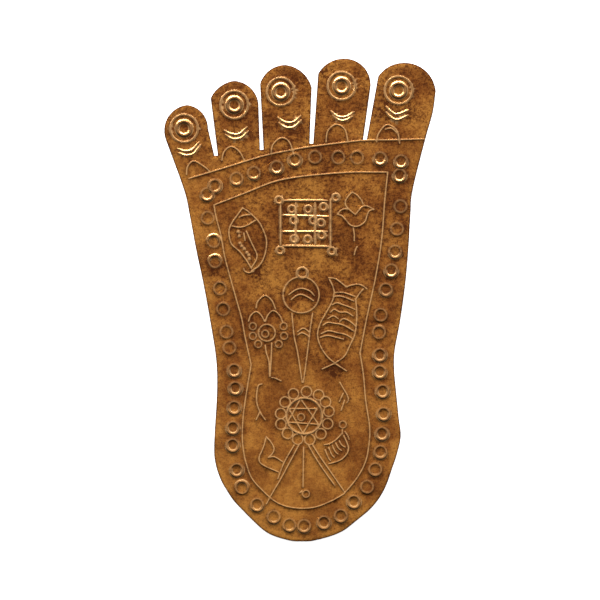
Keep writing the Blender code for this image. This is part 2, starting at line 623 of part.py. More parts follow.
def copper():
    material = bpy.data.materials.new("copper")
    material.use_nodes = True
    shader = material.node_tree.nodes["Principled BSDF"]
    shader.inputs["Base Color"].default_value = COPPER_COLOUR
    shader.inputs["Metallic"].default_value = 1.0
    shader.inputs["Roughness"].default_value = COPPER_ROUGHNESS
    return material


def main():
    for obj in list(bpy.data.objects):
        bpy.data.objects.remove(obj)
    mesh = foot_plate_mesh()
    mesh.materials.append(copper())
    plate = bpy.data.objects.new("foot_plate", mesh)
    bpy.context.scene.collection.objects.link(plate)


main()
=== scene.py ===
"""An embossed copper foot plate, raised by hand from thin sheet, under a soft studio light.

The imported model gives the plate's box. This script cuts the same outline finely, draws the crest of
each chased line and the place of each ring punch, and lets a geometry tree raise the sheet over them.
One operator makes the plate and another the stage. Metres, +Z up, toes towards +Y, big toe towards +X.
"""

import math
from collections import namedtuple

import bpy
import numpy as np
from bpy.props import FloatProperty, FloatVectorProperty, IntProperty, PointerProperty
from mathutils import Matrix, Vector
from mathutils.geometry import delaunay_2d_cdt


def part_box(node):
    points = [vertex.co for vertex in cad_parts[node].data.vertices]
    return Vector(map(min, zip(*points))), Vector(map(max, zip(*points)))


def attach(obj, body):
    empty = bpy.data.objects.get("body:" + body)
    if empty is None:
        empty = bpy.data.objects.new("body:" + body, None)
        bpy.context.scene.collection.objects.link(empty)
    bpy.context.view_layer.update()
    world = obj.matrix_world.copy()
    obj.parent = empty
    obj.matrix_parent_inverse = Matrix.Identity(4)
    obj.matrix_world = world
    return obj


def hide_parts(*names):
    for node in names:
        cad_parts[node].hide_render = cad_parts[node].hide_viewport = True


bl_info = {
    "name": "Copper foot plate",
    "version": (1, 0, 0),
    "blender": (4, 5, 0),
    "location": "3D View > Sidebar > Foot plate",
    "description": "Raises the marks of a copper foot plate, finishes the metal and lights it from above",
    "category": "Add Mesh",
}

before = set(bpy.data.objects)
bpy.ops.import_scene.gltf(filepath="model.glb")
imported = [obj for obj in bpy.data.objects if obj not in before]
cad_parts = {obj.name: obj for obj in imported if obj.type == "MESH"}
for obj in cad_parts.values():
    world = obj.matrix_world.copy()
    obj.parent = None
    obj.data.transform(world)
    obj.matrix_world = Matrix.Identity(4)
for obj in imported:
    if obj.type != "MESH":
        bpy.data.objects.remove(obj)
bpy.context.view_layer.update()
PLATE_LOW, PLATE_HIGH = (np.array(corner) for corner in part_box("foot_plate"))
FOOT_WIDTH, FOOT_LENGTH, PLATE_DEPTH = PLATE_HIGH - PLATE_LOW

# Places on the foot are shares of its width from the middle and of its length from the heel.
# A bulge is an arc's rise over its chord, as a share of the chord.
Toe = namedtuple("Toe", "corner corner_bulge tip tip_bulge shoulder")
TOES = (
    Toe((-0.494, 0.832), 0.245, (-0.416, 0.904), 0.190, (-0.339, 0.856)),
    Toe((-0.329, 0.918), 0.130, (-0.243, 0.954), 0.183, (-0.153, 0.907)),
    Toe((-0.147, 0.948), 0.166, (-0.053, 0.987), 0.155, (0.043, 0.940)),
    Toe((0.067, 0.969), 0.136, (0.162, 1.000), 0.233, (0.259, 0.939)),
    Toe((0.288, 0.963), 0.114, (0.372, 0.991), 0.210, (0.500, 0.933)),
)
SLIT_ENDS = ((-0.309, 0.799), (-0.141, 0.811), (0.042, 0.824), (0.239, 0.832))

# From the toes to the heel
Section = namedtuple("Section", "height little_toe_side big_toe_side")
SECTIONS = (
    Section(0.889, None, 0.489),
    Section(0.832, None, 0.461),
    Section(0.728, -0.427, 0.415),
    Section(0.678, -0.407, 0.407),
    Section(0.603, -0.382, 0.399),
    Section(0.529, -0.354, 0.387),
    Section(0.454, -0.330, 0.368),
    Section(0.396, -0.313, 0.349),
    Section(0.355, -0.306, 0.347),
    Section(0.305, -0.306, 0.355),
    Section(0.255, -0.311, 0.364),
    Section(0.218, -0.315, 0.371),
    Section(0.181, -0.316, 0.357),
    Section(0.154, -0.308, 0.341),
    Section(0.127, -0.291, 0.325),
    Section(0.106, -0.270, 0.309),
    Section(0.085, -0.245, 0.286),
    Section(0.065, -0.212, 0.255),
    Section(0.044, -0.175, 0.210),
    Section(0.023, -0.134, 0.162),
    Section(0.011, -0.095, 0.114),
    Section(0.002, -0.040, 0.054),
    Section(0.000, -0.011, 0.026),
)

BAND_LINE = ((-0.409, 0.753), (-0.273, 0.776), (-0.133, 0.800), (-0.022, 0.813), (0.041, 0.819),
             (0.137, 0.826), (0.236, 0.832), (0.347, 0.833), (0.461, 0.835))
FRAME_LINES = {
    "toe end": ((-0.317, 0.698), (-0.206, 0.722), (-0.103, 0.745), (-0.022, 0.755), (0.089, 0.762),
                (0.199, 0.766), (0.323, 0.766)),
    "instep": ((0.323, 0.766), (0.312, 0.707), (0.302, 0.634), (0.286, 0.572), (0.267, 0.518),
               (0.245, 0.462), (0.221, 0.392)),
    "inner heel": ((0.221, 0.392), (0.234, 0.344), (0.242, 0.293), (0.256, 0.241), (0.255, 0.208),
                   (0.242, 0.168), (0.210, 0.133), (0.162, 0.100)),
    "heel": ((0.162, 0.100), (0.118, 0.086), (0.052, 0.072), (-0.022, 0.071), (-0.085, 0.082),
             (-0.140, 0.108), (-0.180, 0.135), (-0.204, 0.174)),
    "outer heel": ((-0.204, 0.174), (-0.212, 0.210), (-0.210, 0.255), (-0.199, 0.303), (-0.180, 0.367)),
    "outer side": ((-0.180, 0.367), (-0.203, 0.427), (-0.214, 0.461), (-0.233, 0.500), (-0.259, 0.552),
                   (-0.278, 0.593), (-0.291, 0.634), (-0.308, 0.671), (-0.317, 0.698)),
}

# How hard each punch was struck, and how far it leaned to bite deeper on the heel's side
Punch = namedtuple("Punch", "across along strength lean", defaults=(1.0, 0.15))
PUNCH_ROWS = {
    "toe end": (
        Punch(-0.342, 0.719, 0.9, 0.5), Punch(-0.313, 0.736, 1.0, 0.1), Punch(-0.234, 0.751, 0.8, 0.4),
        Punch(-0.170, 0.763, 0.75, 0.5), Punch(-0.086, 0.775, 0.9, 0.5), Punch(-0.019, 0.790, 1.0, 0.2),
        Punch(0.055, 0.796, 0.6, 0.1), Punch(0.141, 0.795, 0.7, -0.3), Punch(0.210, 0.795, 0.7, -0.3),
        Punch(0.295, 0.793, 1.0, 0.4), Punch(0.372, 0.787, 1.0, 0.4), Punch(0.367, 0.758, 1.0, 0.4),
    ),
    "little toe side": (
        Punch(-0.340, 0.670, 0.55), Punch(-0.318, 0.622, 0.9, -0.5), Punch(-0.313, 0.580, 0.9, -0.5),
        Punch(-0.295, 0.524, 0.7, -0.3), Punch(-0.283, 0.481, 0.7, -0.3), Punch(-0.271, 0.434, 0.6),
        Punch(-0.260, 0.401, 0.6), Punch(-0.242, 0.354), Punch(-0.238, 0.317), Punch(-0.242, 0.277),
        Punch(-0.247, 0.235), Punch(-0.248, 0.199), Punch(-0.233, 0.148),
    ),
    "heel": (
        Punch(-0.214, 0.112, 0.9, -0.2), Punch(-0.158, 0.076, 0.9, 0.3), Punch(-0.097, 0.051, 0.7, 0.5),
        Punch(-0.039, 0.034, 0.8, 0.3), Punch(0.015, 0.032, 0.8, 0.4), Punch(0.088, 0.039, 0.95, 0.1),
        Punch(0.150, 0.053, 0.9, 0.1), Punch(0.198, 0.082), Punch(0.247, 0.113, 0.7, 0.3),
    ),
    "big toe side": (
        Punch(0.277, 0.149, 0.8, 0.2), Punch(0.296, 0.185, 0.9), Punch(0.302, 0.223), Punch(0.308, 0.264),
        Punch(0.304, 0.311), Punch(0.294, 0.351, 1.0, 0.2), Punch(0.294, 0.386),
        Punch(0.291, 0.433, 0.8, -0.2), Punch(0.297, 0.469, 0.8, 0.1), Punch(0.316, 0.521, 0.9, 0.1),
        Punch(0.336, 0.561, 1.0, 0.5), Punch(0.350, 0.600, 0.8, 0.5), Punch(0.357, 0.647, 0.6, 0.3),
        Punch(0.370, 0.694, 0.5),
    ),
}

# On each toe a hooped ring, two hanging arcs and an arch, which the big toe has twice
ToeMarks = namedtuple("ToeMarks", "ring hanging_arcs arches")
TOE_MARKS = (
    ToeMarks((-0.427, 0.857), (
        ((-0.451, 0.815), (-0.425, 0.810), (-0.397, 0.813), (-0.371, 0.829)),
        ((-0.447, 0.806), (-0.420, 0.801), (-0.391, 0.805), (-0.366, 0.823)),
    ), (
        ((-0.418, 0.761), (-0.414, 0.778), (-0.391, 0.789), (-0.354, 0.778), (-0.333, 0.768)),
    )),
    ToeMarks((-0.242, 0.906), (
        ((-0.279, 0.853), (-0.252, 0.845), (-0.222, 0.846), (-0.195, 0.860)),
        ((-0.274, 0.844), (-0.248, 0.835), (-0.215, 0.838), (-0.191, 0.851)),
    ), (
        ((-0.288, 0.790), (-0.280, 0.808), (-0.255, 0.819), (-0.225, 0.810), (-0.204, 0.790)),
    )),
    ToeMarks((-0.071, 0.933), (
        ((-0.082, 0.880), (-0.056, 0.870), (-0.024, 0.870), (0.002, 0.883)),
        ((-0.078, 0.869), (-0.054, 0.859), (-0.022, 0.860), (0.005, 0.874)),
    ), (
        ((-0.107, 0.803), (-0.100, 0.823), (-0.070, 0.837), (-0.040, 0.829), (-0.021, 0.800)),
    )),
    ToeMarks((0.153, 0.945), (
        ((0.114, 0.893), (0.137, 0.882), (0.169, 0.881), (0.199, 0.891)),
        ((0.121, 0.884), (0.144, 0.874), (0.169, 0.874), (0.193, 0.882)),
    ), (
        ((0.096, 0.829), (0.102, 0.851), (0.132, 0.865), (0.165, 0.855), (0.177, 0.829)),
    )),
    ToeMarks((0.363, 0.936), (
        ((0.317, 0.902), (0.337, 0.891), (0.358, 0.886), (0.400, 0.895)),
        ((0.317, 0.891), (0.337, 0.879), (0.360, 0.875), (0.398, 0.884)),
    ), (
        ((0.283, 0.829), (0.288, 0.845), (0.319, 0.864), (0.356, 0.853), (0.367, 0.826)),
        ((0.314, 0.855), (0.337, 0.857), (0.358, 0.847)),
    )),
)

# How much nearer the heel the marks as a whole stand than their places say
MARKS_DROP = 0.0002

# The nine-cell grid, in shares of its width and height from its middle
GRID_CENTRE = (0.021, 0.660)
GRID_BARS = {
    "top": ((-0.46, 0.50), (0.43, 0.50)),
    "bottom": ((-0.46, -0.49), (0.52, -0.51)),
    "left": ((-0.51, 0.42), (-0.51, -0.46)),
    "right": ((0.50, 0.53), (0.50, -0.48)),
}
GRID_LINES = {
    "left column": ((-0.20, 0.45), (-0.21, -0.46)),
    "right column": ((0.19, 0.45), (0.19, -0.46)),
    "upper row": ((-0.48, 0.18), (0.45, 0.15)),
    "lower row": ((-0.48, -0.18), (0.43, -0.18)),
}
GRID_CORNER_RINGS = ((-0.54, 0.51), (0.61, 0.57), (-0.52, -0.59), (0.53, -0.61))
GRID_CELL_RINGS = ((-0.28, 0.31), (0.05, 0.31), (0.36, 0.36), (-0.24, 0.06), (0.15, 0.06), (0.31, 0.01),
                   (-0.23, -0.34), (0.04, -0.35), (0.32, -0.26))

# The emblems' strokes, in shares of each emblem's height from its middle
Emblem = namedtuple("Emblem", "centre height strokes")
EMBLEMS = {
    "bud": Emblem((0.205, 0.689), 0.0092, (
        ((-0.10, 0.50), (-0.24, 0.34), (-0.30, 0.19), (-0.23, 0.04), (-0.01, -0.15)),
        ((-0.10, 0.50), (0.06, 0.39), (0.16, 0.27), (0.21, 0.16)),
        ((-0.01, -0.15), (0.09, -0.03), (0.19, 0.08), (0.30, 0.10), (0.41, 0.06), (0.52, 0.00)),
        ((0.52, 0.00), (0.39, -0.04), (0.33, -0.16), (0.27, -0.34), (0.14, -0.45), (0.00, -0.49),
         (-0.16, -0.44), (-0.29, -0.29), (-0.40, -0.18), (-0.52, -0.14)),
        ((-0.52, -0.14), (-0.44, -0.04), (-0.34, 0.01), (-0.24, 0.01), (-0.14, -0.03)),
        ((-0.07, -0.53), (-0.04, -0.70), (-0.04, -0.90)),
        ((0.04, -1.06), (-0.01, -1.17), (-0.04, -1.30)),
    )),
    "conch": Emblem((-0.193, 0.627), 0.0166, (
        ((-0.08, 0.50), (0.01, 0.44), (0.10, 0.36), (0.19, 0.26), (0.26, 0.12), (0.30, -0.02),
         (0.29, -0.17), (0.25, -0.31), (0.17, -0.43), (0.06, -0.50)),
        ((-0.08, 0.50), (-0.15, 0.40), (-0.23, 0.29), (-0.29, 0.17), (-0.29, 0.04), (-0.25, -0.08),
         (-0.12, -0.20), (-0.02, -0.33), (0.06, -0.46)),
        ((-0.06, -0.46), (-0.05, -0.50), (0.02, -0.53), (0.10, -0.50)),
        ((-0.13, 0.35), (-0.06, 0.38), (0.04, 0.39)),
        ((-0.24, 0.21), (-0.13, 0.19), (-0.01, 0.22), (0.12, 0.30)),
        ((-0.02, 0.13), (0.02, 0.04), (0.07, -0.07), (0.12, -0.17), (0.15, -0.25), (0.13, -0.34),
         (0.06, -0.45)),
        ((-0.06, 0.10), (-0.04, -0.02)),
    )),
    "mace": Emblem((0.004, 0.450), 0.0303, (
        ((-0.105, 0.262), (-0.045, 0.304), (0.015, 0.315), (0.080, 0.290), (0.115, 0.252)),
        ((-0.086, 0.219), (-0.039, 0.254), (0.004, 0.263), (0.058, 0.241), (0.109, 0.208)),
        ((-0.08, 0.10), (-0.06, -0.10), (-0.03, -0.24), (0.01, -0.50)),
        ((0.10, 0.10), (0.08, -0.03), (0.06, -0.20), (0.02, -0.50)),
        ((-0.03, -0.06), (0.02, -0.03), (0.07, -0.06)),
        ((-0.03, -0.09), (0.01, -0.07), (0.07, -0.10)),
    )),
    "lotus": Emblem((-0.124, 0.457), 0.0142, (
        ((-0.19, 0.25), (-0.16, 0.37), (-0.03, 0.48), (0.10, 0.39), (0.17, 0.23)),
        ((-0.33, 0.00), (-0.29, 0.11), (-0.19, 0.18), (-0.10, 0.12), (-0.03, 0.00)),
        ((-0.02, 0.00), (0.03, 0.12), (0.13, 0.20), (0.24, 0.12), (0.30, 0.00)),
        ((-0.02, -0.44), (0.00, -0.58), (0.05, -0.75), (0.06, -1.02)),
        ((0.10, -0.40), (0.09, -0.66), (0.07, -1.02)),
        ((0.10, -1.04), (0.16, -1.05), (0.27, -1.10)),
    )),
    "fish": Emblem((0.140, 0.451), 0.0245, (
        ((-0.10, 0.50), (-0.03, 0.49), (0.03, 0.45), (0.09, 0.40)),
        ((0.09, 0.40), (0.14, 0.42), (0.22, 0.43), (0.27, 0.41), (0.31, 0.38)),
        ((-0.09, 0.48), (-0.06, 0.42), (-0.04, 0.35)),
        ((0.27, 0.38), (0.23, 0.33), (0.19, 0.27)),
        ((-0.04, 0.35), (-0.06, 0.25), (-0.13, 0.12), (-0.19, 0.01), (-0.22, -0.11), (-0.19, -0.23),
         (-0.12, -0.34), (-0.03, -0.42), (0.09, -0.50)),
        ((0.19, 0.27), (0.20, 0.15), (0.20, 0.04), (0.18, -0.11), (0.13, -0.22), (0.07, -0.34),
         (-0.04, -0.42), (-0.17, -0.48)),
        ((-0.03, 0.34), (0.06, 0.34), (0.18, 0.30)),
        ((-0.05, 0.30), (0.04, 0.30), (0.17, 0.25)),
        ((-0.06, 0.21), (-0.01, 0.23), (0.05, 0.21), (0.11, 0.19), (0.18, 0.16)),
        ((-0.08, 0.13), (-0.04, 0.16), (0.02, 0.13), (0.09, 0.13), (0.16, 0.09)),
        ((-0.11, 0.06), (-0.05, 0.09), (0.00, 0.06)),
        ((0.02, 0.03), (0.06, 0.06), (0.13, 0.03), (0.19, -0.02)),
        ((-0.16, -0.01), (-0.11, 0.02), (-0.04, 0.01), (0.03, 0.00), (0.10, -0.03), (0.18, -0.08)),
        ((-0.18, -0.10), (-0.10, -0.07), (-0.01, -0.09), (0.08, -0.11), (0.15, -0.15)),
        ((-0.19, -0.14), (-0.11, -0.12), (-0.02, -0.14), (0.06, -0.16)),
    )),
    "wedge": Emblem((0.020, 0.141), 0.0158, (
        ((-0.19, 0.48), (-0.35, 0.20), (-0.46, -0.08)),
        ((-0.10, 0.50), (-0.26, 0.20), (-0.41, -0.08), (-0.53, -0.28), (-0.65, -0.50)),
        ((0.05, 0.48), (0.17, 0.27), (0.33, 0.03), (0.49, -0.19)),
        ((0.11, 0.50), (0.25, 0.28), (0.41, 0.05), (0.66, -0.31)),
        ((-0.03, 0.45), (-0.04, -0.22)),
        ((-0.09, -0.31), (-0.06, -0.28)),
    )),
    "left hook": Emblem((-0.144, 0.290), 0.0095, (
        ((0.03, 0.50), (-0.07, 0.46), (-0.11, 0.28), (-0.12, 0.06), (-0.08, -0.14), (0.01, -0.33),
         (0.12, -0.49)),
        ((-0.02, -0.26), (-0.07, -0.36), (-0.13, -0.49)),
    )),
    "right hook": Emblem((0.162, 0.302), 0.0074, (
        ((-0.15, 0.50), (-0.03, 0.29), (0.11, 0.05), (0.16, -0.12), (0.11, -0.23)),
        ((-0.03, 0.11), (-0.16, -0.19)),
        ((0.02, -0.14), (-0.10, -0.50)),
    )),
    "goad": Emblem((-0.109, 0.181), 0.0095, (
        ((-0.12, 0.50), (0.01, 0.36), (0.10, 0.18), (0.06, 0.04), (-0.06, -0.08)),
        ((-0.06, -0.08), (0.11, -0.06), (0.33, -0.19)),
        ((-0.13, 0.46), (-0.17, 0.28), (-0.24, 0.10), (-0.31, -0.06), (-0.29, -0.21), (-0.14, -0.32),
         (0.22, -0.48)),
    )),
    "comb": Emblem((0.135, 0.206), 0.0116, (
        ((0.13, 0.32), (0.13, 0.20)),
        ((-0.28, -0.05), (-0.15, -0.02), (-0.01, 0.07), (0.12, 0.21)),
        ((0.19, 0.25), (0.25, 0.16), (0.28, 0.07)),
        ((0.16, 0.16), (0.22, 0.03), (0.27, -0.10)),
        ((0.27, -0.11), (0.24, -0.24), (0.11, -0.38), (-0.03, -0.44), (-0.18, -0.48)),
    )),
}
COMB_TEETH = 5
COMB_FIRST_TOOTH = ((-0.26, -0.16), (-0.19, -0.34), (-0.14, -0.41))
COMB_LAST_TOOTH = ((0.06, 0.04), (0.12, -0.06), (0.19, -0.10))
CONCH_DOTS = ((-0.15, 0.12), (-0.13, 0.05), (-0.12, -0.06), (-0.09, -0.11), (-0.05, -0.15), (-0.01, -0.21),
              (0.02, -0.25), (0.03, -0.31))
# A dot's half width over a chased line's
DOT_NARROWNESS = 0.9
LOTUS_EYE = (-0.02, -0.23)
LOTUS_HEART = (0.01, -0.21)
LOTUS_SEEDS = ((-0.25, -0.09), (-0.25, -0.27), (-0.15, -0.42), (0.23, -0.42), (0.33, -0.27), (0.32, -0.09))
MACE_RING = (0.01, 0.45)
MACE_DISC = (0.00, 0.26)
WEDGE_RING = (0.01, -0.33)
COMB_KNOB = (0.14, 0.41)

# The sun's star is in shares of its circle's radius. Its petals are struck freely: an angle in degrees,
# anticlockwise from the big toe's side, and the distance from the middle as a share of the petals' path.
Petal = namedtuple("Petal", "angle distance")
SUN_CENTRE = (0.016, 0.261)
SUN_EYE = (-0.18, -0.06)
SUN_STAR = (
    ((-0.21, 0.96), (-0.93, -0.34), (0.79, -0.46), (-0.21, 0.96)),
    ((-0.87, 0.41), (0.71, 0.41), (-0.07, -0.96), (-0.87, 0.41)),
)
SUN_PETALS = (
    Petal(11, 1.02), Petal(34, 1.04), Petal(56, 1.04), Petal(85, 1.00), Petal(116, 1.01),
    Petal(144, 0.97), Petal(174, 0.97), Petal(199, 1.01), Petal(226, 0.98), Petal(254, 0.98),
    Petal(283, 0.98), Petal(313, 0.99), Petal(342, 1.00),
)

# Dark stains and rubbed golden spots: place, reach in metres, and how strong
Patch = namedtuple("Patch", "place reach strength")
STAINS = (
    Patch((-0.050, 0.950), 0.0260, 0.42),
    Patch((0.330, 0.930), 0.0180, 0.40),
    Patch((-0.300, 0.860), 0.0180, 0.34),
    Patch((0.000, 0.730), 0.0260, 0.46),
    Patch((0.300, 0.700), 0.0200, 0.36),
    Patch((0.050, 0.580), 0.0280, 0.38),
    Patch((0.133, 0.353), 0.0026, 1.0),
    Patch((-0.215, 0.850), 0.0060, 0.5),
    Patch((-0.040, 0.850), 0.0070, 0.6),
    Patch((-0.020, 0.955), 0.0040, 0.5),
    Patch((0.085, 0.975), 0.0040, 0.6),
    Patch((0.215, 0.955), 0.0040, 0.5),
    Patch((0.310, 0.893), 0.0040, 0.8),
    Patch((0.410, 0.890), 0.0050, 0.6),
    Patch((0.080, 0.785), 0.0040, 0.5),
    Patch((-0.155, 0.556), 0.0032, 0.8),
    Patch((0.114, 0.586), 0.0028, 0.9),
    Patch((0.175, 0.600), 0.0050, 0.4),
    Patch((-0.300, 0.560), 0.0050, 0.5),
    Patch((-0.100, 0.415), 0.0045, 0.5),
    Patch((0.075, 0.380), 0.0050, 0.4),
    Patch((-0.140, 0.811), 0.0006, 1.0),
    Patch((-0.305, 0.788), 0.0006, 1.0),
    Patch((0.120, 0.690), 0.0030, 0.4),
)
RUBBED_SPOTS = (
    Patch((0.020, 0.724), 0.0075, 0.9),
    Patch((0.061, 0.588), 0.0055, 0.8),
    Patch((-0.060, 0.555), 0.0065, 0.7),
    Patch((-0.350, 0.745), 0.0050, 0.6),
    Patch((0.400, 0.810), 0.0060, 0.4),
    Patch((-0.060, 0.405), 0.0045, 0.5),
    Patch((-0.410, 0.790), 0.0040, 0.5),
    Patch((-0.030, 0.100), 0.0160, 0.6),
    Patch((-0.240, 0.180), 0.0100, 0.4),
    Patch((-0.060, 0.340), 0.0100, 0.3),
)

# How a patch thins out towards its reach
PATCH_FALL = 1.4

# Where the mesh has its rows beside each crest, in shares of the ridge's half width
FACE_ROWS = (0.0, 0.35, 0.65, 0.88, 1.1)
BACK_ROWS = (0.0, 0.5, 0.95)
# Degrees off a stroke's own direction at which a row's two points stand beyond its end
END_TURN = 35
FEWEST_RING_SPOTS = 6

# The cut edge: points in each half of a toe's tip, spacing, rows of points inside it, others' clearance
TOE_ARC_STEPS = 20
OUTLINE_STEP = 0.0005
EDGE_ROWS = (0.00014, 0.00038)
EDGE_CLEARANCE = 0.0001

# The open lattice's row spacing, and how near a mark's point keeps its points away, both in steps
LATTICE_ROW = 0.866
LATTICE_CLEARANCE = 0.7

# A stroke's end has this share of its height and regains the rest over this length; its width wanes less
STROKE_END = 0.72
STROKE_RISE = 0.0012
LIGHT_WIDTH = 0.85

# A ridge rises as (1 - share ** 2) ** RIDGE_POWER, where share is the distance from its crest in half widths.
# The half widths waver by a fine noise, and ridges that meet are smoothed together within RIDGE_MEETING.
RIDGE_POWER = 1.35
WAVER_LEAST, WAVER_RANGE, WAVER_SCALE = 0.82, 0.36, 700.0
RIDGE_MEETING = 0.00004
WAVINESS_SCALE = 130.0
# How much of the face's rise the hollow back follows
BACK_SHARE = 0.88

# Where each effect starts and ends: bare tops and gloss by share of a crest, bare slopes by steepness,
# the rest by distance from the nearest mark or from the cut edge
BARE_TOP = (0.45, 0.95)
BARE_SLOPE = (0.58, 0.70)
GLOSS = (0.05, 0.50)
# The foot band darkens the copper beside every ridge: painted shade along with tarnish.
FOOT = (0.00035, 0.0010)
EDGE_ROLL = (0.0, 0.0004)
MARGIN = (0.0002, 0.0022)
# The rim band darkens a thin strip along the cut edge: painted shade of the rolled edge.
RIM = (0.0001, 0.00035)

# Angle, in degrees, from which an edge is sharp
SHARP_ANGLE = 62

# Scratches run four ways: turn in degrees, how much each noise is drawn out and squeezed, and its shift
SCRATCH_RUNS = ((8, 45.0, 5200.0, 0.0), (64, 60.0, 4300.0, 3.1), (-37, 80.0, 6100.0, 7.7),
                (81, 140.0, 7400.0, 5.2))
BUMP_HEIGHT = 0.00003
COAT_WEIGHT = 0.1
COAT_ROUGHNESS = 0.18

FLOOR_REACH = 2
FLOOR_LEVEL = -0.00005
FLOOR_ROUGHNESS = 0.9
PANEL_PLACE = Vector((-0.03, 0.335, 0.125))
PANEL_TARGET = Vector((0, 0.03, 0))
PANEL_SIZE = (0.90, 0.080)
# The air's brightness by direction: where each change starts and ends, and from what to what it goes
DIM_BY_HEEL = (-0.62, 0.08, 0.05, 1.0)
BRIGHT_BY_TOES = (0.15, 0.80, 1.0, 1.2)
DIM_BY_SIDES = (0.40, 0.95, 1.0, 0.35)
SEEN_WHITE = (0.95, 0.95, 0.95, 1)
NEAREST_SEEN = 0.01

# A ridge's polish says how bare its top is, from 0 to 1
Tool = namedtuple("Tool", "height half_width polish", defaults=(0.8,))
Line = namedtuple("Line", "path tool")
Ring = namedtuple("Ring", "centre radius tool lean", defaults=(0.0,))


def a_length(name, description, default):
    return FloatProperty(name=name, description=description, default=default, unit="LENGTH", precision=5)


def a_radius(name, default, description="Radius at the crest"):
    return a_length(name, description, default)


def a_ridge(name, default, description="Height and half width"):
    return FloatVectorProperty(name=name, description=description, default=default, size=2,
                               unit="LENGTH", precision=5)


def a_factor(name, description, default):
    return FloatProperty(name=name, description=description, default=default, min=0, max=1,
                         subtype="FACTOR")


def a_colour(name, description, default):
    return FloatVectorProperty(name=name, description=description, default=(*default, 1), size=4,
                               min=0, max=1, subtype="COLOR")


class SheetSizes(bpy.types.PropertyGroup):
    """The sheet and how it is worked."""

    thickness: a_length("Sheet thickness", "Gauge of the copper sheet", 0.0003)
    slit_width: a_length("Toe slit width", "Gap at the inner end of each cut between toes", 0.00095)
    swell: a_length("Swell", "How far the sheet lifts softly around each mark", 0.00004)
    swell_reach: a_length("Swell reach", "How far from a mark the sheet still lifts", 0.0018)
    waviness: a_length("Waviness", "Height of the sheet's hand-flattened waves", 0.00006)
    edge_roll: a_length("Edge roll", "How far the snips press down the cut edge", 0.00008)
    face_step: a_length("Face step", "Mesh spacing along the marks on the face", 0.00040)
    back_step: a_length("Back step", "Mesh spacing along the marks on the back", 0.00060)
    open_step: a_length("Open step", "Mesh spacing where the sheet is plain", 0.00080)
    ring_sides: IntProperty(name="Ring sides", description="Straight pieces in the crest of a ring punch",
                            default=40, min=12)


class ToolSizes(bpy.types.PropertyGroup):
    """The ridge that each tool raises, and the sizes of the rings, the grid and the sun."""

    line: a_ridge("Chased line", (0.00015, 0.00038))
    bar: a_ridge("Broad line", (0.00021, 0.00048))
    deep_line: a_ridge("Deep line", (0.00019, 0.00036))
    toe_hoop: a_ridge("Toe hoop", (0.00017, 0.00032))
    toe_disc: a_ridge("Toe ring", (0.00035, 0.00068))
    punch: a_ridge("Border punch", (0.00025, 0.00054))
    seed: a_ridge("Seed punch", (0.00015, 0.00037))
    petal: a_ridge("Petal punch", (0.00012, 0.00034))
    toe_hoop_radius: a_radius("Toe hoop radius", 0.00363)
    toe_disc_radius: a_radius("Toe ring radius", 0.00185)
    punch_radius: a_radius("Border punch radius", 0.00160)
    seed_radius: a_radius("Seed radius", 0.00092)
    dot_radius: a_radius("Dot radius", 0.00018, "Radius of the conch's small dots")
    grid: a_ridge("Grid", (0.01302, 0.01202), "Width and height of the nine-cell grid")
    lotus_heart_radius: a_radius("Lotus heart radius", 0.00220)
    mace_ring_radius: a_radius("Mace ring radius", 0.00138)
    mace_disc_radius: a_radius("Mace disc radius", 0.00475)
    sun_radius: a_radius("Sun radius", 0.00474, "Radius of the circle round the star")
    sun_petal_radius: a_radius("Sun petal radius", 0.00137, "Radius of each petal ring")
    sun_petal_path: a_radius("Sun petal path", 0.00645, "Distance of the petal rings from the middle")


class CopperFinish(bpy.types.PropertyGroup):
    """The colours of the worked copper."""

    brown: a_colour("Brown", "Tarnished copper on the open sheet", (0.33, 0.100, 0.016))
    golden: a_colour("Golden", "Rubbed copper on patches and margins", (0.59, 0.244, 0.044))
    bare: a_colour("Bare", "Bright copper on the tops of the ridges", (0.90, 0.50, 0.20))
    punch_polish: a_factor("Punch polish", "How bare the tops of the large punches are", 0.30)
    seed_polish: a_factor("Seed polish", "How bare the tops of seeds and toe hoops are", 0.55)
    dark: a_colour("Dark", "Dark tarnish in the stains", (0.09, 0.022, 0.004))
    back_brown: a_colour("Back brown", "Dull copper on the back", (0.38, 0.15, 0.05))
    cut: a_colour("Cut edge", "Bare copper where the snips cut", (0.66, 0.30, 0.11))


class StageSizes(bpy.types.PropertyGroup):
    """Camera and light."""

    lens: FloatProperty(name="Lens", description="Focal length in millimetres", default=200)
    distance: a_length("Camera distance", "Height of the camera over the plate", 0.877)
    ceiling: FloatProperty(name="Ceiling light", description="Brightness of the even light from above",
                           default=0.95)
    panel_power: FloatProperty(name="Panel power", description="Power of the light beyond the toes",
                               default=6.0, unit="POWER")
    floor_glow: FloatProperty(name="Floor glow", description="How far the floor is lit up to plain white",
                              default=0.7)
    floor_colour: a_colour("Floor", "Colour of the floor", (0.92, 0.92, 0.91))


class FootPlateSettings(bpy.types.PropertyGroup):
    """All that a user may change."""

    sheet: PointerProperty(type=SheetSizes)
    tools: PointerProperty(type=ToolSizes)
    finish: PointerProperty(type=CopperFinish)
    stage: PointerProperty(type=StageSizes)


def on_foot(place):
    """The point at these shares of the foot's width and length."""
    return np.array((place[0] * FOOT_WIDTH, (place[1] - 0.5) * FOOT_LENGTH))


def on_face(place):
    """The point at these shares for a mark: the marks as a whole stand a little nearer the heel."""
    return on_foot(place) - (0, MARKS_DROP)


def placed(place, centre, height, width=None):
    """The point at these shares of a drawing that stands at centre on the foot."""
    across = height if width is None else width
    return on_face(centre) + (place[0] * across, place[1] * height)


def turned(points, degrees):
    angle = math.radians(degrees)
    cosine, sine = math.cos(angle), math.sin(angle)
    return np.atleast_2d(points) @ np.array(((cosine, sine), (-sine, cosine)))


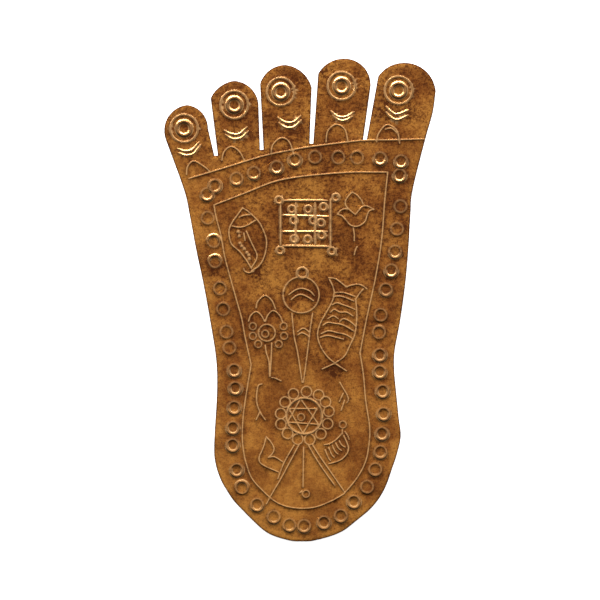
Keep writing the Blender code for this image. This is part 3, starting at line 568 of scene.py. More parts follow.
def curve(points, steps=8):
    """A smooth path through a few given points."""
    points = np.array(points)
    if len(points) < 3:
        return points
    ends = np.vstack((2 * points[0] - points[1], points, 2 * points[-1] - points[-2]))
    path = []
    for before, here, after, beyond in zip(ends, ends[1:], ends[2:], ends[3:]):
        for share in np.arange(steps) / steps:
            path.append(here + (after - before) * share / 2
                        + (2 * before - 5 * here + 4 * after - beyond) * share ** 2 / 2
                        + (3 * here - 3 * after + beyond - before) * share ** 3 / 2)
    return np.array(path + [points[-1]])


def spaced(path, spacing):
    """The same path with evenly spaced points."""
    path = np.array(path)
    along = np.concatenate(([0], np.cumsum(np.linalg.norm(np.diff(path, axis=0), axis=1))))
    stops = np.linspace(0, along[-1], max(round(along[-1] / spacing), 1) + 1)
    return np.column_stack([np.interp(stops, along, path[:, axis]) for axis in range(2)])


def arc(start, end, bulge, steps=TOE_ARC_STEPS):
    """Points from start up to, not including, end, on an arc that bulges to the left of the way there."""
    way = end - start
    chord = np.linalg.norm(way)
    rise = bulge * chord
    radius = (chord ** 2 / 4 + rise ** 2) / (2 * rise)
    left = np.array((-way[1], way[0])) / chord
    centre = (start + end) / 2 + left * (rise - radius)
    spread = math.degrees(2 * math.asin(chord / 2 / radius))
    return [centre + turned(start - centre, -spread * step / steps)[0] for step in range(steps)]


def foot_outline(settings):
    """The cut edge, clockwise from the little toe's outer corner."""
    half_slit = np.array((settings.sheet.slit_width / 2, 0))
    path = []
    for number, toe in enumerate(TOES):
        corner, tip, shoulder = (on_foot(place) for place in (toe.corner, toe.tip, toe.shoulder))
        path += arc(corner, tip, toe.corner_bulge) + arc(tip, shoulder, toe.tip_bulge)
        if number < len(SLIT_ENDS):
            end = on_foot(SLIT_ENDS[number])
            path += [shoulder, end - half_slit, end + half_slit]
    sides = [on_foot(TOES[-1].shoulder)]
    sides += [on_foot((section.big_toe_side, section.height)) for section in SECTIONS]
    sides += [on_foot((section.little_toe_side, section.height)) for section in reversed(SECTIONS)
              if section.little_toe_side is not None]
    path += list(curve(sides + [on_foot(TOES[0].corner)]))
    even = []
    for start, end in zip(path, path[1:]):
        even += list(spaced((start, end), OUTLINE_STEP)[:-1])
    return np.clip(np.array(even), PLATE_LOW[:2], PLATE_HIGH[:2])


def marks(settings):
    """Every chased line and ring on the face."""
    tools, finish = settings.tools, settings.finish
    line, bar, deep_line, petal = (
        Tool(*size) for size in (tools.line, tools.bar, tools.deep_line, tools.petal))
    hoop, seed = (Tool(*size, finish.seed_polish) for size in (tools.toe_hoop, tools.seed))
    disc, punch = (Tool(*size, finish.punch_polish) for size in (tools.toe_disc, tools.punch))
    deep_seed = seed._replace(height=deep_line.height)
    lines = [Line(curve([on_face(place) for place in BAND_LINE]), line)]
    lines += [Line(curve([on_face(place) for place in stroke]), line) for stroke in FRAME_LINES.values()]
    rings = []
    for row in PUNCH_ROWS.values():
        for strike in row:
            struck = punch._replace(height=punch.height * strike.strength)
            place = on_foot((strike.across, strike.along))
            rings.append(Ring(place, tools.punch_radius, struck, strike.lean))
    for toe in TOE_MARKS:
        rings.append(Ring(on_face(toe.ring), tools.toe_hoop_radius, hoop))
        rings.append(Ring(on_face(toe.ring), tools.toe_disc_radius, disc))
        for strokes, tool in ((toe.hanging_arcs, deep_line), (toe.arches, line)):
            lines += [Line(curve([on_face(place) for place in stroke]), tool) for stroke in strokes]
    width, height = tools.grid
    for strokes, tool in ((GRID_BARS, bar), (GRID_LINES, deep_line)):
        lines += [Line(np.array([placed(place, GRID_CENTRE, height, width) for place in stroke]), tool)
                  for stroke in strokes.values()]
    rings += [Ring(placed(place, GRID_CENTRE, height, width), tools.seed_radius, deep_seed)
              for place in GRID_CORNER_RINGS + GRID_CELL_RINGS]
    for emblem in EMBLEMS.values():
        lines += [Line(curve([placed(place, emblem.centre, emblem.height) for place in stroke]), line)
                  for stroke in emblem.strokes]
    lines += [Line(curve(tooth), line) for tooth in comb_teeth()]
    dot = Tool(line.height, line.half_width * DOT_NARROWNESS)
    for name, places, radius, tool in (
            ("mace", (MACE_RING,), tools.mace_ring_radius, deep_seed),
            ("mace", (MACE_DISC,), tools.mace_disc_radius, line),
            ("lotus", (LOTUS_HEART,), tools.lotus_heart_radius, line),
            ("lotus", (LOTUS_EYE,), tools.seed_radius, seed),
            ("wedge", (WEDGE_RING,), tools.seed_radius, seed),
            ("comb", (COMB_KNOB,), tools.seed_radius, seed),
            ("lotus", LOTUS_SEEDS, tools.seed_radius, seed),
            ("conch", CONCH_DOTS, tools.dot_radius, dot)):
        emblem = EMBLEMS[name]
        rings += [Ring(placed(place, emblem.centre, emblem.height), radius, tool) for place in places]
    sun_lines, sun_rings = sun(tools, line, bar, seed, petal)
    return lines + sun_lines, rings + sun_rings


def comb_teeth():
    """The comb's teeth, which step evenly from the first to the last."""
    comb = EMBLEMS["comb"]
    for number in range(COMB_TEETH):
        share = number / (COMB_TEETH - 1)
        tooth = np.array(COMB_FIRST_TOOTH) * (1 - share) + np.array(COMB_LAST_TOOTH) * share
        yield [placed(place, comb.centre, comb.height) for place in tooth]


def sun(tools, line, bar, seed, petal):
    """A six-pointed star in a circle, ringed with petals."""
    centre = on_face(SUN_CENTRE)
    lines = [Line(np.array([placed(place, SUN_CENTRE, tools.sun_radius) for place in stroke]), line)
             for stroke in SUN_STAR]
    rings = [Ring(centre, tools.sun_radius, bar),
             Ring(placed(SUN_EYE, SUN_CENTRE, tools.sun_radius), tools.seed_radius, seed)]
    for place in SUN_PETALS:
        spot = centre + turned((tools.sun_petal_path * place.distance, 0), place.angle)[0]
        rings.append(Ring(spot, tools.sun_petal_radius, petal))
    return lines, rings


def rows_over(lines, rings, rows, step):
    """Mesh points in rows over every ridge, the crests first."""
    spots = []
    for row in rows:
        for side in ((1, -1) if row else (1,)):
            for mark in lines:
                path = spaced(mark.path, step)
                ways = np.gradient(path, axis=0)
                across = np.column_stack((-ways[:, 1], ways[:, 0])) / np.linalg.norm(ways, axis=1)[:, None]
                offset = side * row * mark.tool.half_width
                spots.append(path + across * offset)
                for end, way in ((path[0], -ways[0]), (path[-1], ways[-1])):
                    spots.append(end + turned(way / np.linalg.norm(way) * abs(offset), END_TURN * side))
            for mark in rings:
                radius = mark.radius + side * row * mark.tool.half_width
                if radius > step / 4:
                    count = max(round(2 * math.pi * radius / step), FEWEST_RING_SPOTS)
                    angles = np.linspace(0, 2 * math.pi, count + 1)[:-1]
                    spots.append(mark.centre + radius * np.column_stack((np.cos(angles), np.sin(angles))))
    spots.append(np.array([mark.centre for mark in rings]))
    return np.vstack(spots)


def first_in_each_cell(spots, cell):
    """Only the first spot in each square of a grid, in the order they came."""
    _, first = np.unique(np.floor(spots / cell).astype(int), axis=0, return_index=True)
    return spots[np.sort(first)]


def within(spots, outline):
    """The spots inside the outline and clear of it."""
    inside = np.zeros(len(spots), bool)
    near = np.full(len(spots), np.inf)
    for start, end in zip(outline, np.roll(outline, -1, axis=0)):
        run = end - start
        crosses = (start[1] > spots[:, 1]) != (end[1] > spots[:, 1])
        if run[1]:
            inside ^= crosses & (spots[:, 0] < run[0] * (spots[:, 1] - start[1]) / run[1] + start[0])
        share = np.clip((spots - start) @ run / (run @ run), 0, 1)
        near = np.minimum(near, np.linalg.norm(spots - start - share[:, None] * run, axis=1))
    return spots[inside & (near > EDGE_CLEARANCE)]


def edge_rows(outline):
    """Two rows of points just inside the cut edge, so that it can roll down."""
    ways = np.roll(outline, -1, axis=0) - np.roll(outline, 1, axis=0)
    inward = np.column_stack((ways[:, 1], -ways[:, 0])) / np.linalg.norm(ways, axis=1)[:, None]
    return np.vstack([outline + inward * row for row in EDGE_ROWS])


def open_lattice(spots, step):
    """Even points over the whole plate, left out where the marks already have theirs."""
    across = np.arange(PLATE_LOW[0], PLATE_HIGH[0], step)
    along = np.arange(PLATE_LOW[1], PLATE_HIGH[1], step * LATTICE_ROW)
    grid = np.array([(x + (row % 2) * step / 2, y) for row, y in enumerate(along) for x in across])
    cell_size = step * LATTICE_CLEARANCE
    taken = {tuple(cell) for cell in np.floor(spots / cell_size).astype(int)}
    free = [tuple(cell) not in taken for cell in np.floor(grid / cell_size).astype(int)]
    return grid[free]


def filled(outline, spots):
    """Points and triangles, anticlockwise from above, that fill the outline, whose points come first."""
    count = len(outline)
    ring = list(range(count))
    points = [Vector(spot) for spot in np.vstack((outline, spots))]
    found, _, faces, sources, _, inside = delaunay_2d_cdt(
        points, list(zip(ring, ring[1:] + ring[:1])), [ring[::-1]], 0, 1e-7)
    kept = [face for face, into in zip(faces, inside) if into]
    place_of = {source: number for number, all_sources in enumerate(sources) for source in all_sources}
    order = [place_of[number] for number in ring]
    order += sorted({number for face in kept for number in face} - set(order))
    renumbered = {old: new for new, old in enumerate(order)}
    return np.array([found[number][:] for number in order]), [[renumbered[n] for n in face] for face in kept]


def patched(spots, patches):
    """How far the patches cover each spot, from 0 to 1, before the finish breaks them up."""
    cover = np.zeros(len(spots))
    for patch in patches:
        gap = np.linalg.norm(spots - on_foot(patch.place), axis=1) / patch.reach
        cover = np.maximum(cover, patch.strength * np.exp(-gap ** 2 * PATCH_FALL))
    return cover


def add_attribute(mesh, name, values, domain="POINT"):
    layer = mesh.attributes.new(name, "FLOAT", domain)
    layer.data.foreach_set("value", np.asarray(values, np.float32))


def flat_sheet(settings, outline, lines, rings):
    """The cut sheet before it is raised: face, back and cut edge, all still at one height."""
    sheet = settings.sheet
    sides = []
    for rows, step, open_step in ((FACE_ROWS, sheet.face_step, sheet.open_step),
                                  (BACK_ROWS, sheet.back_step, 2 * sheet.open_step)):
        marked = rows_over(lines, rings, rows, step)
        spots = np.vstack((marked, edge_rows(outline), open_lattice(marked, open_step)))
        spots = within(first_in_each_cell(spots, step / 4), outline)
        sides.append(filled(outline, spots))
    (face, face_tris), (back, back_tris) = sides
    start = len(face)
    under = [[number + start for number in reversed(tri)] for tri in back_tris]
    ring = len(outline)
    wall = [(b, b + start, a + start, a) for a, b in zip(range(ring), list(range(1, ring)) + [0])]
    spots = np.vstack((face, back))
    mesh = bpy.data.meshes.new("flat_sheet")
    mesh.from_pydata(np.column_stack((spots, np.zeros(len(spots)))).tolist(), [], face_tris + under + wall)
    mesh.polygons.foreach_set("use_smooth", [True] * len(mesh.polygons))
    add_attribute(mesh, "side", [1] * start + [0] * len(back))
    add_attribute(mesh, "stain", patched(spots, STAINS))
    add_attribute(mesh, "rubbed", patched(spots, RUBBED_SPOTS))
    add_attribute(mesh, "is_back", [0] * len(face_tris) + [1] * len(under) + [0] * len(wall), "FACE")
    add_attribute(mesh, "is_wall", [0] * (len(face_tris) + len(under)) + [1] * len(wall), "FACE")
    return mesh


def in_scene(name, data):
    """A new object in the scene, made of a mesh, a light or a camera."""
    obj = bpy.data.objects.new(name, data)
    bpy.context.scene.collection.objects.link(obj)
    return obj


def crest_lines(lines, step):
    """The crest of every chased line, with its height and half width; a stroke starts and ends lighter."""
    spots, edges, heights, widths, polish = [], [], [], [], []
    for line in lines:
        path = spaced(line.path, step)
        first = len(spots)
        along = np.arange(len(path)) * step
        regained = np.minimum(along, along[::-1]) / STROKE_RISE
        lightness = np.clip(STROKE_END + (1 - STROKE_END) * regained, 0, 1)
        spots += list(path)
        edges += [(first + k, first + k + 1) for k in range(len(path) - 1)]
        heights += list(line.tool.height * lightness)
        widths += list(line.tool.half_width * (LIGHT_WIDTH + (1 - LIGHT_WIDTH) * lightness))
        polish += [line.tool.polish] * len(path)
    mesh = bpy.data.meshes.new("crest_lines")
    mesh.from_pydata([(x, y, 0) for x, y in spots], edges, [])
    add_attribute(mesh, "height", heights)
    add_attribute(mesh, "half_width", widths)
    add_attribute(mesh, "bareness", polish)
    return mesh


def punch_places(rings):
    mesh = bpy.data.meshes.new("punch_places")
    mesh.from_pydata([(ring.centre[0], ring.centre[1], 0) for ring in rings], [], [])
    add_attribute(mesh, "radius", [ring.radius for ring in rings])
    add_attribute(mesh, "height", [ring.tool.height for ring in rings])
    add_attribute(mesh, "half_width", [ring.tool.half_width for ring in rings])
    add_attribute(mesh, "bareness", [ring.tool.polish for ring in rings])
    add_attribute(mesh, "lean", [ring.lean for ring in rings])
    add_attribute(mesh, "middle", [ring.centre[1] for ring in rings])
    return mesh


def cut_line(outline):
    mesh = bpy.data.meshes.new("cut_line")
    count = len(outline)
    mesh.from_pydata([(x, y, 0) for x, y in outline], [(k, (k + 1) % count) for k in range(count)], [])
    return mesh


def add(tree, kind, values=(), **settings):
    """A node with its settings, and with its inputs linked to sockets or set to values."""
    node = tree.nodes.new(kind)
    for name, value in settings.items():
        setattr(node, name, value)
    for key, value in dict(values).items():
        if isinstance(value, bpy.types.NodeSocket):
            tree.links.new(value, node.inputs[key])
        else:
            node.inputs[key].default_value = value
    return node


def calc(tree, operation, *values, clamp=False):
    """A Math node's result."""
    node = add(tree, "ShaderNodeMath", dict(enumerate(values)), operation=operation, use_clamp=clamp)
    return node.outputs[0]


def times(tree, first, second, clamp=False):
    return calc(tree, "MULTIPLY", first, second, clamp=clamp)


def eased(tree, value, low, high, to_low=0.0, to_high=1.0):
    """value carried smoothly from low..high to to_low..to_high."""
    ends = {"Value": value, "From Min": low, "From Max": high, "To Min": to_low, "To Max": to_high}
    return add(tree, "ShaderNodeMapRange", ends, interpolation_type="SMOOTHSTEP").outputs["Result"]


def faded(tree, value, low, high):
    """1 up to low, and falling smoothly to 0 at high."""
    return eased(tree, value, low, high, 1.0, 0.0)


def noise(tree, spot, scale, detail=2.0, roughness=0.5):
    values = {"Vector": spot, "Scale": scale, "Detail": detail, "Roughness": roughness}
    return add(tree, "ShaderNodeTexNoise", values).outputs["Fac"]


def blended(tree, share, first, second):
    """Two colours mixed by a share from 0 to 1."""
    # A Mix node has sockets of the same names for floats, vectors and colours, so they go by number
    return add(tree, "ShaderNodeMix", data_type="RGBA", values={0: share, 6: first, 7: second}).outputs[2]


def named(tree, name):
    """A float attribute of the geometry."""
    node = add(tree, "GeometryNodeInputNamedAttribute", {"Name": name}, data_type="FLOAT")
    return node.outputs["Attribute"]


def stored(tree, geometry, name, value):
    """The geometry with a float attribute at its points."""
    values = {"Geometry": geometry, "Name": name, "Value": value}
    return add(tree, "GeometryNodeStoreNamedAttribute", values, data_type="FLOAT",
               domain="POINT").outputs["Geometry"]


def realized(tree, geometry):
    return add(tree, "GeometryNodeRealizeInstances", {"Geometry": geometry}).outputs["Geometry"]


def edge_gap_to(tree, geometry, spot):
    """The distance from each spot to the nearest edge."""
    return add(tree, "GeometryNodeProximity", {"Geometry": geometry, "Sample Position": spot},
               target_element="EDGES").outputs["Distance"]


def new_tree(name, kind, inputs, outputs):
    """An empty node group, with the sockets that it is given and those that it makes."""
    tree = bpy.data.node_groups.new(name, kind)
    for way, sockets in (("INPUT", inputs), ("OUTPUT", outputs)):
        for label, socket in sockets:
            tree.interface.new_socket(label, in_out=way, socket_type="NodeSocket" + socket)
    return tree, tree.nodes.new("NodeGroupInput").outputs, tree.nodes.new("NodeGroupOutput").inputs


def ridge_over(tree, crests, spot, unevenness):
    """The rise, the rise over the crest's, the polish and the distance of the nearest ridge at each spot."""
    gap = edge_gap_to(tree, crests, spot)
    index = add(tree, "GeometryNodeSampleNearest", {"Geometry": crests, "Sample Position": spot},
                domain="EDGE").outputs["Index"]
    height, half_width, bareness = (
        add(tree, "GeometryNodeSampleIndex", {"Geometry": crests, "Value": named(tree, name), "Index": index},
            data_type="FLOAT", domain="EDGE").outputs["Value"]
        for name in ("height", "half_width", "bareness"))
    share = times(tree, calc(tree, "DIVIDE", gap, half_width), unevenness, clamp=True)
    fall = calc(tree, "SUBTRACT", 1.0, times(tree, share, share))
    reached = calc(tree, "POWER", fall, RIDGE_POWER)
    steepness = times(tree, share, calc(tree, "POWER", fall, RIDGE_POWER - 1))
    steepness = times(tree, steepness, 2 * RIDGE_POWER)
    slope = times(tree, steepness, calc(tree, "DIVIDE", height, half_width))
    topped = times(tree, eased(tree, reached, *BARE_TOP), bareness)
    polish = calc(tree, "MAXIMUM", topped, eased(tree, slope, *BARE_SLOPE))
    return times(tree, height, reached), reached, polish, gap


def raising_tree():
    """Raises a flat sheet over chased lines and ring punches, rolls its cut edge and gives it thickness."""
    sizes = ("Thickness", "Swell", "Swell Reach", "Waviness", "Highest Rise", "Edge Roll")
    tree, given, made = new_tree(
        "raise_marks", "GeometryNodeTree",
        [("Sheet", "Geometry"), ("Crest Lines", "Object"), ("Punch Places", "Object"), ("Cut Line", "Object"),
         ("Ring Sides", "Int")] + [(size, "Float") for size in sizes]
        + [("Face Finish", "Material"), ("Back Finish", "Material"), ("Cut Finish", "Material")],
        [("Plate", "Geometry")])
    size = {name: given[name] for name in sizes}
    geometry = {name: add(tree, "GeometryNodeObjectInfo", {"Object": given[name]}).outputs["Geometry"]
                for name in ("Crest Lines", "Punch Places", "Cut Line")}
    spot = tree.nodes.new("GeometryNodeInputPosition").outputs["Position"]
    circle = add(tree, "GeometryNodeMeshCircle", {"Vertices": given["Ring Sides"], "Radius": 1.0})
    struck = add(tree, "GeometryNodeInstanceOnPoints", {"Points": geometry["Punch Places"],
                                                        "Instance": circle.outputs["Mesh"],
                                                        "Scale": named(tree, "radius")})
    punches = realized(tree, struck.outputs["Instances"])
    along = add(tree, "ShaderNodeSeparateXYZ", {"Vector": spot}).outputs["Y"]
    heelward = calc(tree, "SUBTRACT", named(tree, "middle"), along)
    heelward = calc(tree, "DIVIDE", heelward, named(tree, "radius"))
    leaned = calc(tree, "ADD", 1.0, times(tree, named(tree, "lean"), heelward))
    punches = stored(tree, punches, "height", times(tree, named(tree, "height"), leaned))
    wavering = times(tree, WAVER_RANGE, noise(tree, spot, WAVER_SCALE))
    unevenness = calc(tree, "ADD", WAVER_LEAST, wavering)
    line_rise, line_crest, line_polish, line_gap = ridge_over(tree, geometry["Crest Lines"], spot, unevenness)
    punch_rise, punch_crest, punch_polish, punch_gap = ridge_over(tree, punches, spot, unevenness)
    ridges = calc(tree, "SMOOTH_MAX", line_rise, punch_rise, RIDGE_MEETING)
    gap = calc(tree, "MINIMUM", line_gap, punch_gap)
    swelling = times(tree, faded(tree, gap, 0.0, size["Swell Reach"]), size["Swell"])
    waves = times(tree, noise(tree, spot, WAVINESS_SCALE, 1.0), size["Waviness"])
    soft = calc(tree, "ADD", swelling, waves)
    rise = calc(tree, "MINIMUM", calc(tree, "ADD", ridges, soft), size["Highest Rise"])
    edge_gap = edge_gap_to(tree, geometry["Cut Line"], spot)
    rolled = times(tree, faded(tree, edge_gap, *EDGE_ROLL), size["Edge Roll"])
    side = named(tree, "side")
    top = calc(tree, "SUBTRACT", calc(tree, "ADD", rise, size["Thickness"]), rolled)
    under = times(tree, rise, BACK_SHARE)
    height = calc(tree, "ADD", times(tree, side, top),
                  times(tree, calc(tree, "SUBTRACT", 1.0, side), under))
    plate = given["Sheet"]
    # The foot and rim bands carry painted shade into the finish: beside every ridge, together with tarnish,
    # and along the cut edge.
    for name, field in (("polish", calc(tree, "MAXIMUM", line_polish, punch_polish)),
                        ("gloss", eased(tree, calc(tree, "MAXIMUM", line_crest, punch_crest), *GLOSS)),
                        ("foot", faded(tree, gap, *FOOT)), ("margin", faded(tree, edge_gap, *MARGIN)),
                        ("rim", faded(tree, edge_gap, *RIM))):
        plate = stored(tree, plate, name, field)
    lift = add(tree, "ShaderNodeCombineXYZ", {"Z": height}).outputs["Vector"]
    plate = add(tree, "GeometryNodeSetPosition", {"Geometry": plate, "Offset": lift}).outputs["Geometry"]
    plate = realized(tree, plate)
    for zone, finish in ((None, "Face Finish"), ("is_back", "Back Finish"), ("is_wall", "Cut Finish")):
        values = {"Geometry": plate, "Material": given[finish]}
        if zone:
            values["Selection"] = named(tree, zone)
        plate = add(tree, "GeometryNodeSetMaterial", values).outputs["Geometry"]
    tree.links.new(plate, made["Plate"])
    return tree


def raised(obj, tree, values):
    """obj's mesh as the tree makes it, with the tree's inputs set by their labels."""
    modifier = obj.modifiers.new("raise", "NODES")
    modifier.node_group = tree
    keys = {item.name: item.identifier for item in tree.interface.items_tree if item.in_out == "INPUT"}
    for label, value in values.items():
        modifier[keys[label]] = value
    graph = bpy.context.evaluated_depsgraph_get()
    mesh = bpy.data.meshes.new_from_object(obj.evaluated_get(graph), depsgraph=graph)
    obj.modifiers.remove(modifier)
    return mesh


def hairlines_group():
    """Fine scratches in four directions, as a mask."""
    tree, given, made = new_tree("hairlines", "ShaderNodeTree", [("Spot", "Vector")],
                                 [("Scratches", "Float")])
    total = 0.0
    for turn, length, width, start in SCRATCH_RUNS:
        turned_spot = add(tree, "ShaderNodeMapping", {"Vector": given["Spot"],
                                                      "Rotation": (0, 0, math.radians(turn)),
                                                      "Location": (start, start, 0)}).outputs["Vector"]
        stretched = add(tree, "ShaderNodeMapping", {"Vector": turned_spot, "Scale": (length, width, 1.0)})
        streak = noise(tree, stretched.outputs["Vector"], 1.0, 1.0)
        patch = eased(tree, noise(tree, turned_spot, 190.0), 0.42, 0.62)
        lines = times(tree, eased(tree, streak, 0.63, 0.74), patch)
        total = calc(tree, "ADD", total, lines, clamp=True)
    tree.links.new(total, made["Scratches"])
    return tree


def weighed(tree, *terms, clamp=True):
    """The sum of values, each times its weight."""
    total = 0.0
    for value, weight in terms:
        total = add(tree, "ShaderNodeMath", {0: value, 1: weight, 2: total}, operation="MULTIPLY_ADD",
                    use_clamp=clamp and (value, weight) == terms[-1]).outputs[0]
    return total


SKIN_COLOURS = ("Brown", "Golden", "Bare", "Dark")
# What the geometry tree or the flat sheet says about each spot
SKIN_FIELDS = ("Polish", "Gloss", "Foot", "Margin", "Rim", "Stain", "Rubbed")


def copper_skin_group(hairlines):
    """Tarnished copper: brown, golden where it is rubbed, dark where it is stained, scratched all over, with
    painted shade beside each ridge's foot (together with tarnish) and along the cut edge.
    """
    tree, given, made = new_tree(
        "copper_skin", "ShaderNodeTree",
        [(colour, "Color") for colour in SKIN_COLOURS] + [(field, "Float") for field in SKIN_FIELDS]
        + [("Scratch Depth", "Float")],
        [("Color", "Color"), ("Roughness", "Float"), ("Height", "Float")])
    spot = tree.nodes.new("ShaderNodeTexCoord").outputs["Object"]
    scratches = add(tree, "ShaderNodeGroup", node_tree=hairlines)
    tree.links.new(spot, scratches.inputs["Spot"])
    scratch = times(tree, scratches.outputs["Scratches"], given["Scratch Depth"])
    broad = noise(tree, spot, 95.0, 3.0, 0.55)
    mottle = noise(tree, spot, 330.0, 4.0, 0.6)
    smeared = add(tree, "ShaderNodeMapping", {"Vector": spot, "Rotation": (0, 0, math.radians(28)),
                                              "Scale": (380.0, 1100.0, 1.0)}).outputs["Vector"]
    fleck = weighed(tree, (noise(tree, spot, 1200.0, 4.0, 0.7), 0.75),
                    (noise(tree, smeared, 1.0, 2.0, 0.6), 0.25))
    grain = noise(tree, spot, 2600.0, 2.0, 0.65)
    warmth = weighed(tree, (eased(tree, broad, 0.42, 0.62), 0.50), (eased(tree, mottle, 0.42, 0.70), 0.24),
                     (eased(tree, fleck, 0.48, 0.66), 0.40), (given["Margin"], 0.40),
                     (given["Rubbed"], 0.60))
    colour = blended(tree, warmth, given["Brown"], given["Golden"])
    stained = times(tree, given["Stain"], eased(tree, fleck, 0.56, 0.42, 0.35, 1.3))
    spared = calc(tree, "SUBTRACT", 1.0, times(tree, given["Rubbed"], 0.6))
    specks = weighed(tree, (eased(tree, broad, 0.54, 0.34), 0.45), (eased(tree, mottle, 0.50, 0.28), 0.22),
                     (eased(tree, fleck, 0.50, 0.36), 0.45), (eased(tree, grain, 0.51, 0.37), 0.55))
    # Painted shade along with tarnish: the copper darkens beside the foot of every ridge.
    foot_shade_and_tarnish = times(tree, given["Foot"], eased(tree, mottle, 0.35, 0.65, 0.15, 0.50))
    # The rim term is painted shade: a dark strip along the rolled cut edge.
    darkness = weighed(tree, (times(tree, specks, spared), 0.75), (stained, 1.0), (foot_shade_and_tarnish, 1.0),
                       (given["Rim"], 0.70))
    colour = blended(tree, darkness, colour, given["Dark"])
    polish = times(tree, given["Polish"], eased(tree, fleck, 0.36, 0.52, 0.45, 0.85))
    colour = blended(tree, polish, colour, given["Bare"])
    colour = blended(tree, times(tree, scratch, 0.35), colour, given["Golden"])
    tree.links.new(colour, made["Color"])
    rough = weighed(tree, (0.26, 1.0), (mottle, 0.10), (darkness, 0.08), (given["Gloss"], -0.13))
    tree.links.new(rough, made["Roughness"])
    relief = weighed(tree, (0.8, 1.0), (grain, 0.9), (fleck, 1.2), (mottle, 0.8), (scratch, -0.8),
                     clamp=False)
    calmed = calc(tree, "SUBTRACT", 1.0, times(tree, given["Gloss"], 0.6))
    tree.links.new(times(tree, relief, calmed), made["Height"])
    return tree


def copper_material(name, skin, colours, scratch_depth, bump):
    material = bpy.data.materials.new(name)
    material.use_nodes = True
    tree = material.node_tree
    shader = tree.nodes["Principled BSDF"]
    skinned = add(tree, "ShaderNodeGroup", node_tree=skin)
    for label, value in zip(SKIN_COLOURS, colours):
        skinned.inputs[label].default_value = value
    skinned.inputs["Scratch Depth"].default_value = scratch_depth
    for label in SKIN_FIELDS:
        field = add(tree, "ShaderNodeAttribute", attribute_name=label.lower())
        tree.links.new(field.outputs["Fac"], skinned.inputs[label])
    tree.links.new(skinned.outputs["Color"], shader.inputs["Base Color"])
    tree.links.new(skinned.outputs["Roughness"], shader.inputs["Roughness"])
    bumped = add(tree, "ShaderNodeBump", {"Strength": bump, "Distance": BUMP_HEIGHT,
                                          "Height": skinned.outputs["Height"]})
    tree.links.new(bumped.outputs["Normal"], shader.inputs["Normal"])
    shader.inputs["Metallic"].default_value = 1.0
    shader.inputs["Coat Weight"].default_value = COAT_WEIGHT
    shader.inputs["Coat Roughness"].default_value = COAT_ROUGHNESS
    return material


class FOOTPLATE_OT_plate(bpy.types.Operator):
    """Cut the copper sheet, raise its marks and finish it"""

    bl_idname = "footplate.plate"
    bl_label = "Copper plate"

    def execute(self, context):
        settings = context.scene.foot_plate
        sheet, finish = settings.sheet, settings.finish
        outline = foot_outline(settings)
        lines, rings = marks(settings)
        skin = copper_skin_group(hairlines_group())
        face = copper_material("copper_face", skin, (finish.brown, finish.golden, finish.bare, finish.dark),
                               scratch_depth=1.0, bump=0.6)
        back = copper_material("copper_back", skin,
                               (finish.back_brown, finish.brown, finish.golden, finish.dark),
                               scratch_depth=0.6, bump=0.4)
        cut = copper_material("copper_cut", skin, (finish.cut, finish.golden, finish.bare, finish.brown),
                              scratch_depth=0.8, bump=0.3)
        plate = in_scene("copper_sheet", flat_sheet(settings, outline, lines, rings))
        helpers = [in_scene("crest_lines", crest_lines(lines, sheet.face_step / 2)),
                   in_scene("punch_places", punch_places(rings)), in_scene("cut_line", cut_line(outline))]
        mesh = raised(plate, raising_tree(), {
            "Crest Lines": helpers[0], "Punch Places": helpers[1], "Cut Line": helpers[2],
            "Ring Sides": sheet.ring_sides, "Thickness": sheet.thickness, "Swell": sheet.swell,
            "Swell Reach": sheet.swell_reach, "Waviness": sheet.waviness,
            "Highest Rise": PLATE_DEPTH - sheet.thickness, "Edge Roll": sheet.edge_roll,
            "Face Finish": face, "Back Finish": back, "Cut Finish": cut})
        mesh.set_sharp_from_angle(angle=math.radians(SHARP_ANGLE))
        plate.data = mesh
        for obj in helpers:
            bpy.data.objects.remove(obj)
        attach(plate, "root")
        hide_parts("foot_plate")
        return {"FINISHED"}


def panel_light(power):
    """A long lit panel that stands low beyond the toes."""
    light = bpy.data.lights.new("panel_beyond_toes", "AREA")
    light.shape = "RECTANGLE"
    light.size, light.size_y = PANEL_SIZE
    light.energy = power
    obj = in_scene("panel_beyond_toes", light)
    obj.location = PANEL_PLACE
    obj.rotation_euler = (PANEL_TARGET - PANEL_PLACE).to_track_quat("-Z", "Y").to_euler()


def studio_air(strength):
    """Light from above that dims towards the heel and the sides; the camera sees plain white."""
    world = bpy.data.worlds.new("studio_air")
    world.use_nodes = True
    tree = world.node_tree
    tree.nodes.clear()
    sky = tree.nodes.new("ShaderNodeTexCoord").outputs["Generated"]
    way = add(tree, "ShaderNodeSeparateXYZ", {"Vector": sky})
    toward_toes = times(tree, eased(tree, way.outputs["Y"], *DIM_BY_HEEL),
                       eased(tree, way.outputs["Y"], *BRIGHT_BY_TOES))
    sideways = eased(tree, calc(tree, "ABSOLUTE", way.outputs["X"]), *DIM_BY_SIDES)
    brightness = times(tree, times(tree,toward_toes, sideways), strength)
    light = add(tree, "ShaderNodeBackground", {"Color": (1, 1, 1, 1), "Strength": brightness})
    seen = add(tree, "ShaderNodeBackground", {"Color": SEEN_WHITE, "Strength": 1.0})
    ray = tree.nodes.new("ShaderNodeLightPath").outputs["Is Camera Ray"]
    mixed = add(tree, "ShaderNodeMixShader", {0: ray, 1: light.outputs[0], 2: seen.outputs[0]})
    ended = tree.nodes.new("ShaderNodeOutputWorld")
    tree.links.new(mixed.outputs[0], ended.inputs["Surface"])
    return world


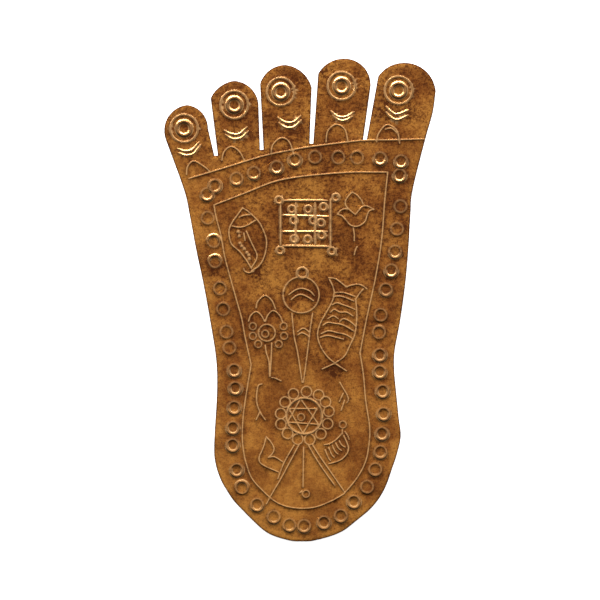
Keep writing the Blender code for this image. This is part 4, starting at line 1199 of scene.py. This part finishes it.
class FOOTPLATE_OT_stage(bpy.types.Operator):
    """Lay a pale floor, and set the camera and the lights"""

    bl_idname = "footplate.stage"
    bl_label = "Stage"

    def execute(self, context):
        stage = context.scene.foot_plate.stage
        mesh = bpy.data.meshes.new("floor")
        corners = ((-1, -1), (1, -1), (1, 1), (-1, 1))
        mesh.from_pydata([(x * FLOOR_REACH, y * FLOOR_REACH, FLOOR_LEVEL) for x, y in corners], [],
                         [(0, 1, 2, 3)])
        material = bpy.data.materials.new("pale_floor")
        material.use_nodes = True
        shader = material.node_tree.nodes["Principled BSDF"]
        shader.inputs["Base Color"].default_value = stage.floor_colour
        shader.inputs["Roughness"].default_value = FLOOR_ROUGHNESS
        shader.inputs["Specular IOR Level"].default_value = 0.0
        shader.inputs["Emission Color"].default_value = stage.floor_colour
        shader.inputs["Emission Strength"].default_value = stage.floor_glow
        mesh.materials.append(material)
        in_scene("floor", mesh)
        panel_light(stage.panel_power)
        context.scene.world = studio_air(stage.ceiling)
        camera = in_scene("camera", bpy.data.cameras.new("camera"))
        camera.data.lens = stage.lens
        camera.data.clip_start = NEAREST_SEEN
        camera.location = (0, 0, stage.distance)
        context.scene.camera = camera
        context.scene.view_settings.view_transform = "Standard"
        return {"FINISHED"}


class FOOTPLATE_PT_panel(bpy.types.Panel):
    """The foot plate's sizes, finish and stage"""

    bl_label = "Foot plate"
    bl_idname = "FOOTPLATE_PT_panel"
    bl_space_type = "VIEW_3D"
    bl_region_type = "UI"
    bl_category = "Foot plate"

    def draw(self, context):
        settings = context.scene.foot_plate
        for title, group, operator in (("Sheet", settings.sheet, None), ("Tools", settings.tools, None),
                                       ("Finish", settings.finish, FOOTPLATE_OT_plate.bl_idname),
                                       ("Stage", settings.stage, FOOTPLATE_OT_stage.bl_idname)):
            box = self.layout.box()
            box.label(text=title)
            for name in type(group).__annotations__:
                box.prop(group, name)
            if operator:
                box.operator(operator)


CLASSES = (SheetSizes, ToolSizes, CopperFinish, StageSizes, FootPlateSettings, FOOTPLATE_OT_plate,
           FOOTPLATE_OT_stage, FOOTPLATE_PT_panel)


def register():
    for each in CLASSES:
        bpy.utils.register_class(each)
    bpy.types.Scene.foot_plate = PointerProperty(type=FootPlateSettings)


def unregister():
    del bpy.types.Scene.foot_plate
    for each in reversed(CLASSES):
        bpy.utils.unregister_class(each)


def main():
    register()
    bpy.ops.footplate.plate()
    bpy.ops.footplate.stage()


if __name__ == "__main__":
    main()
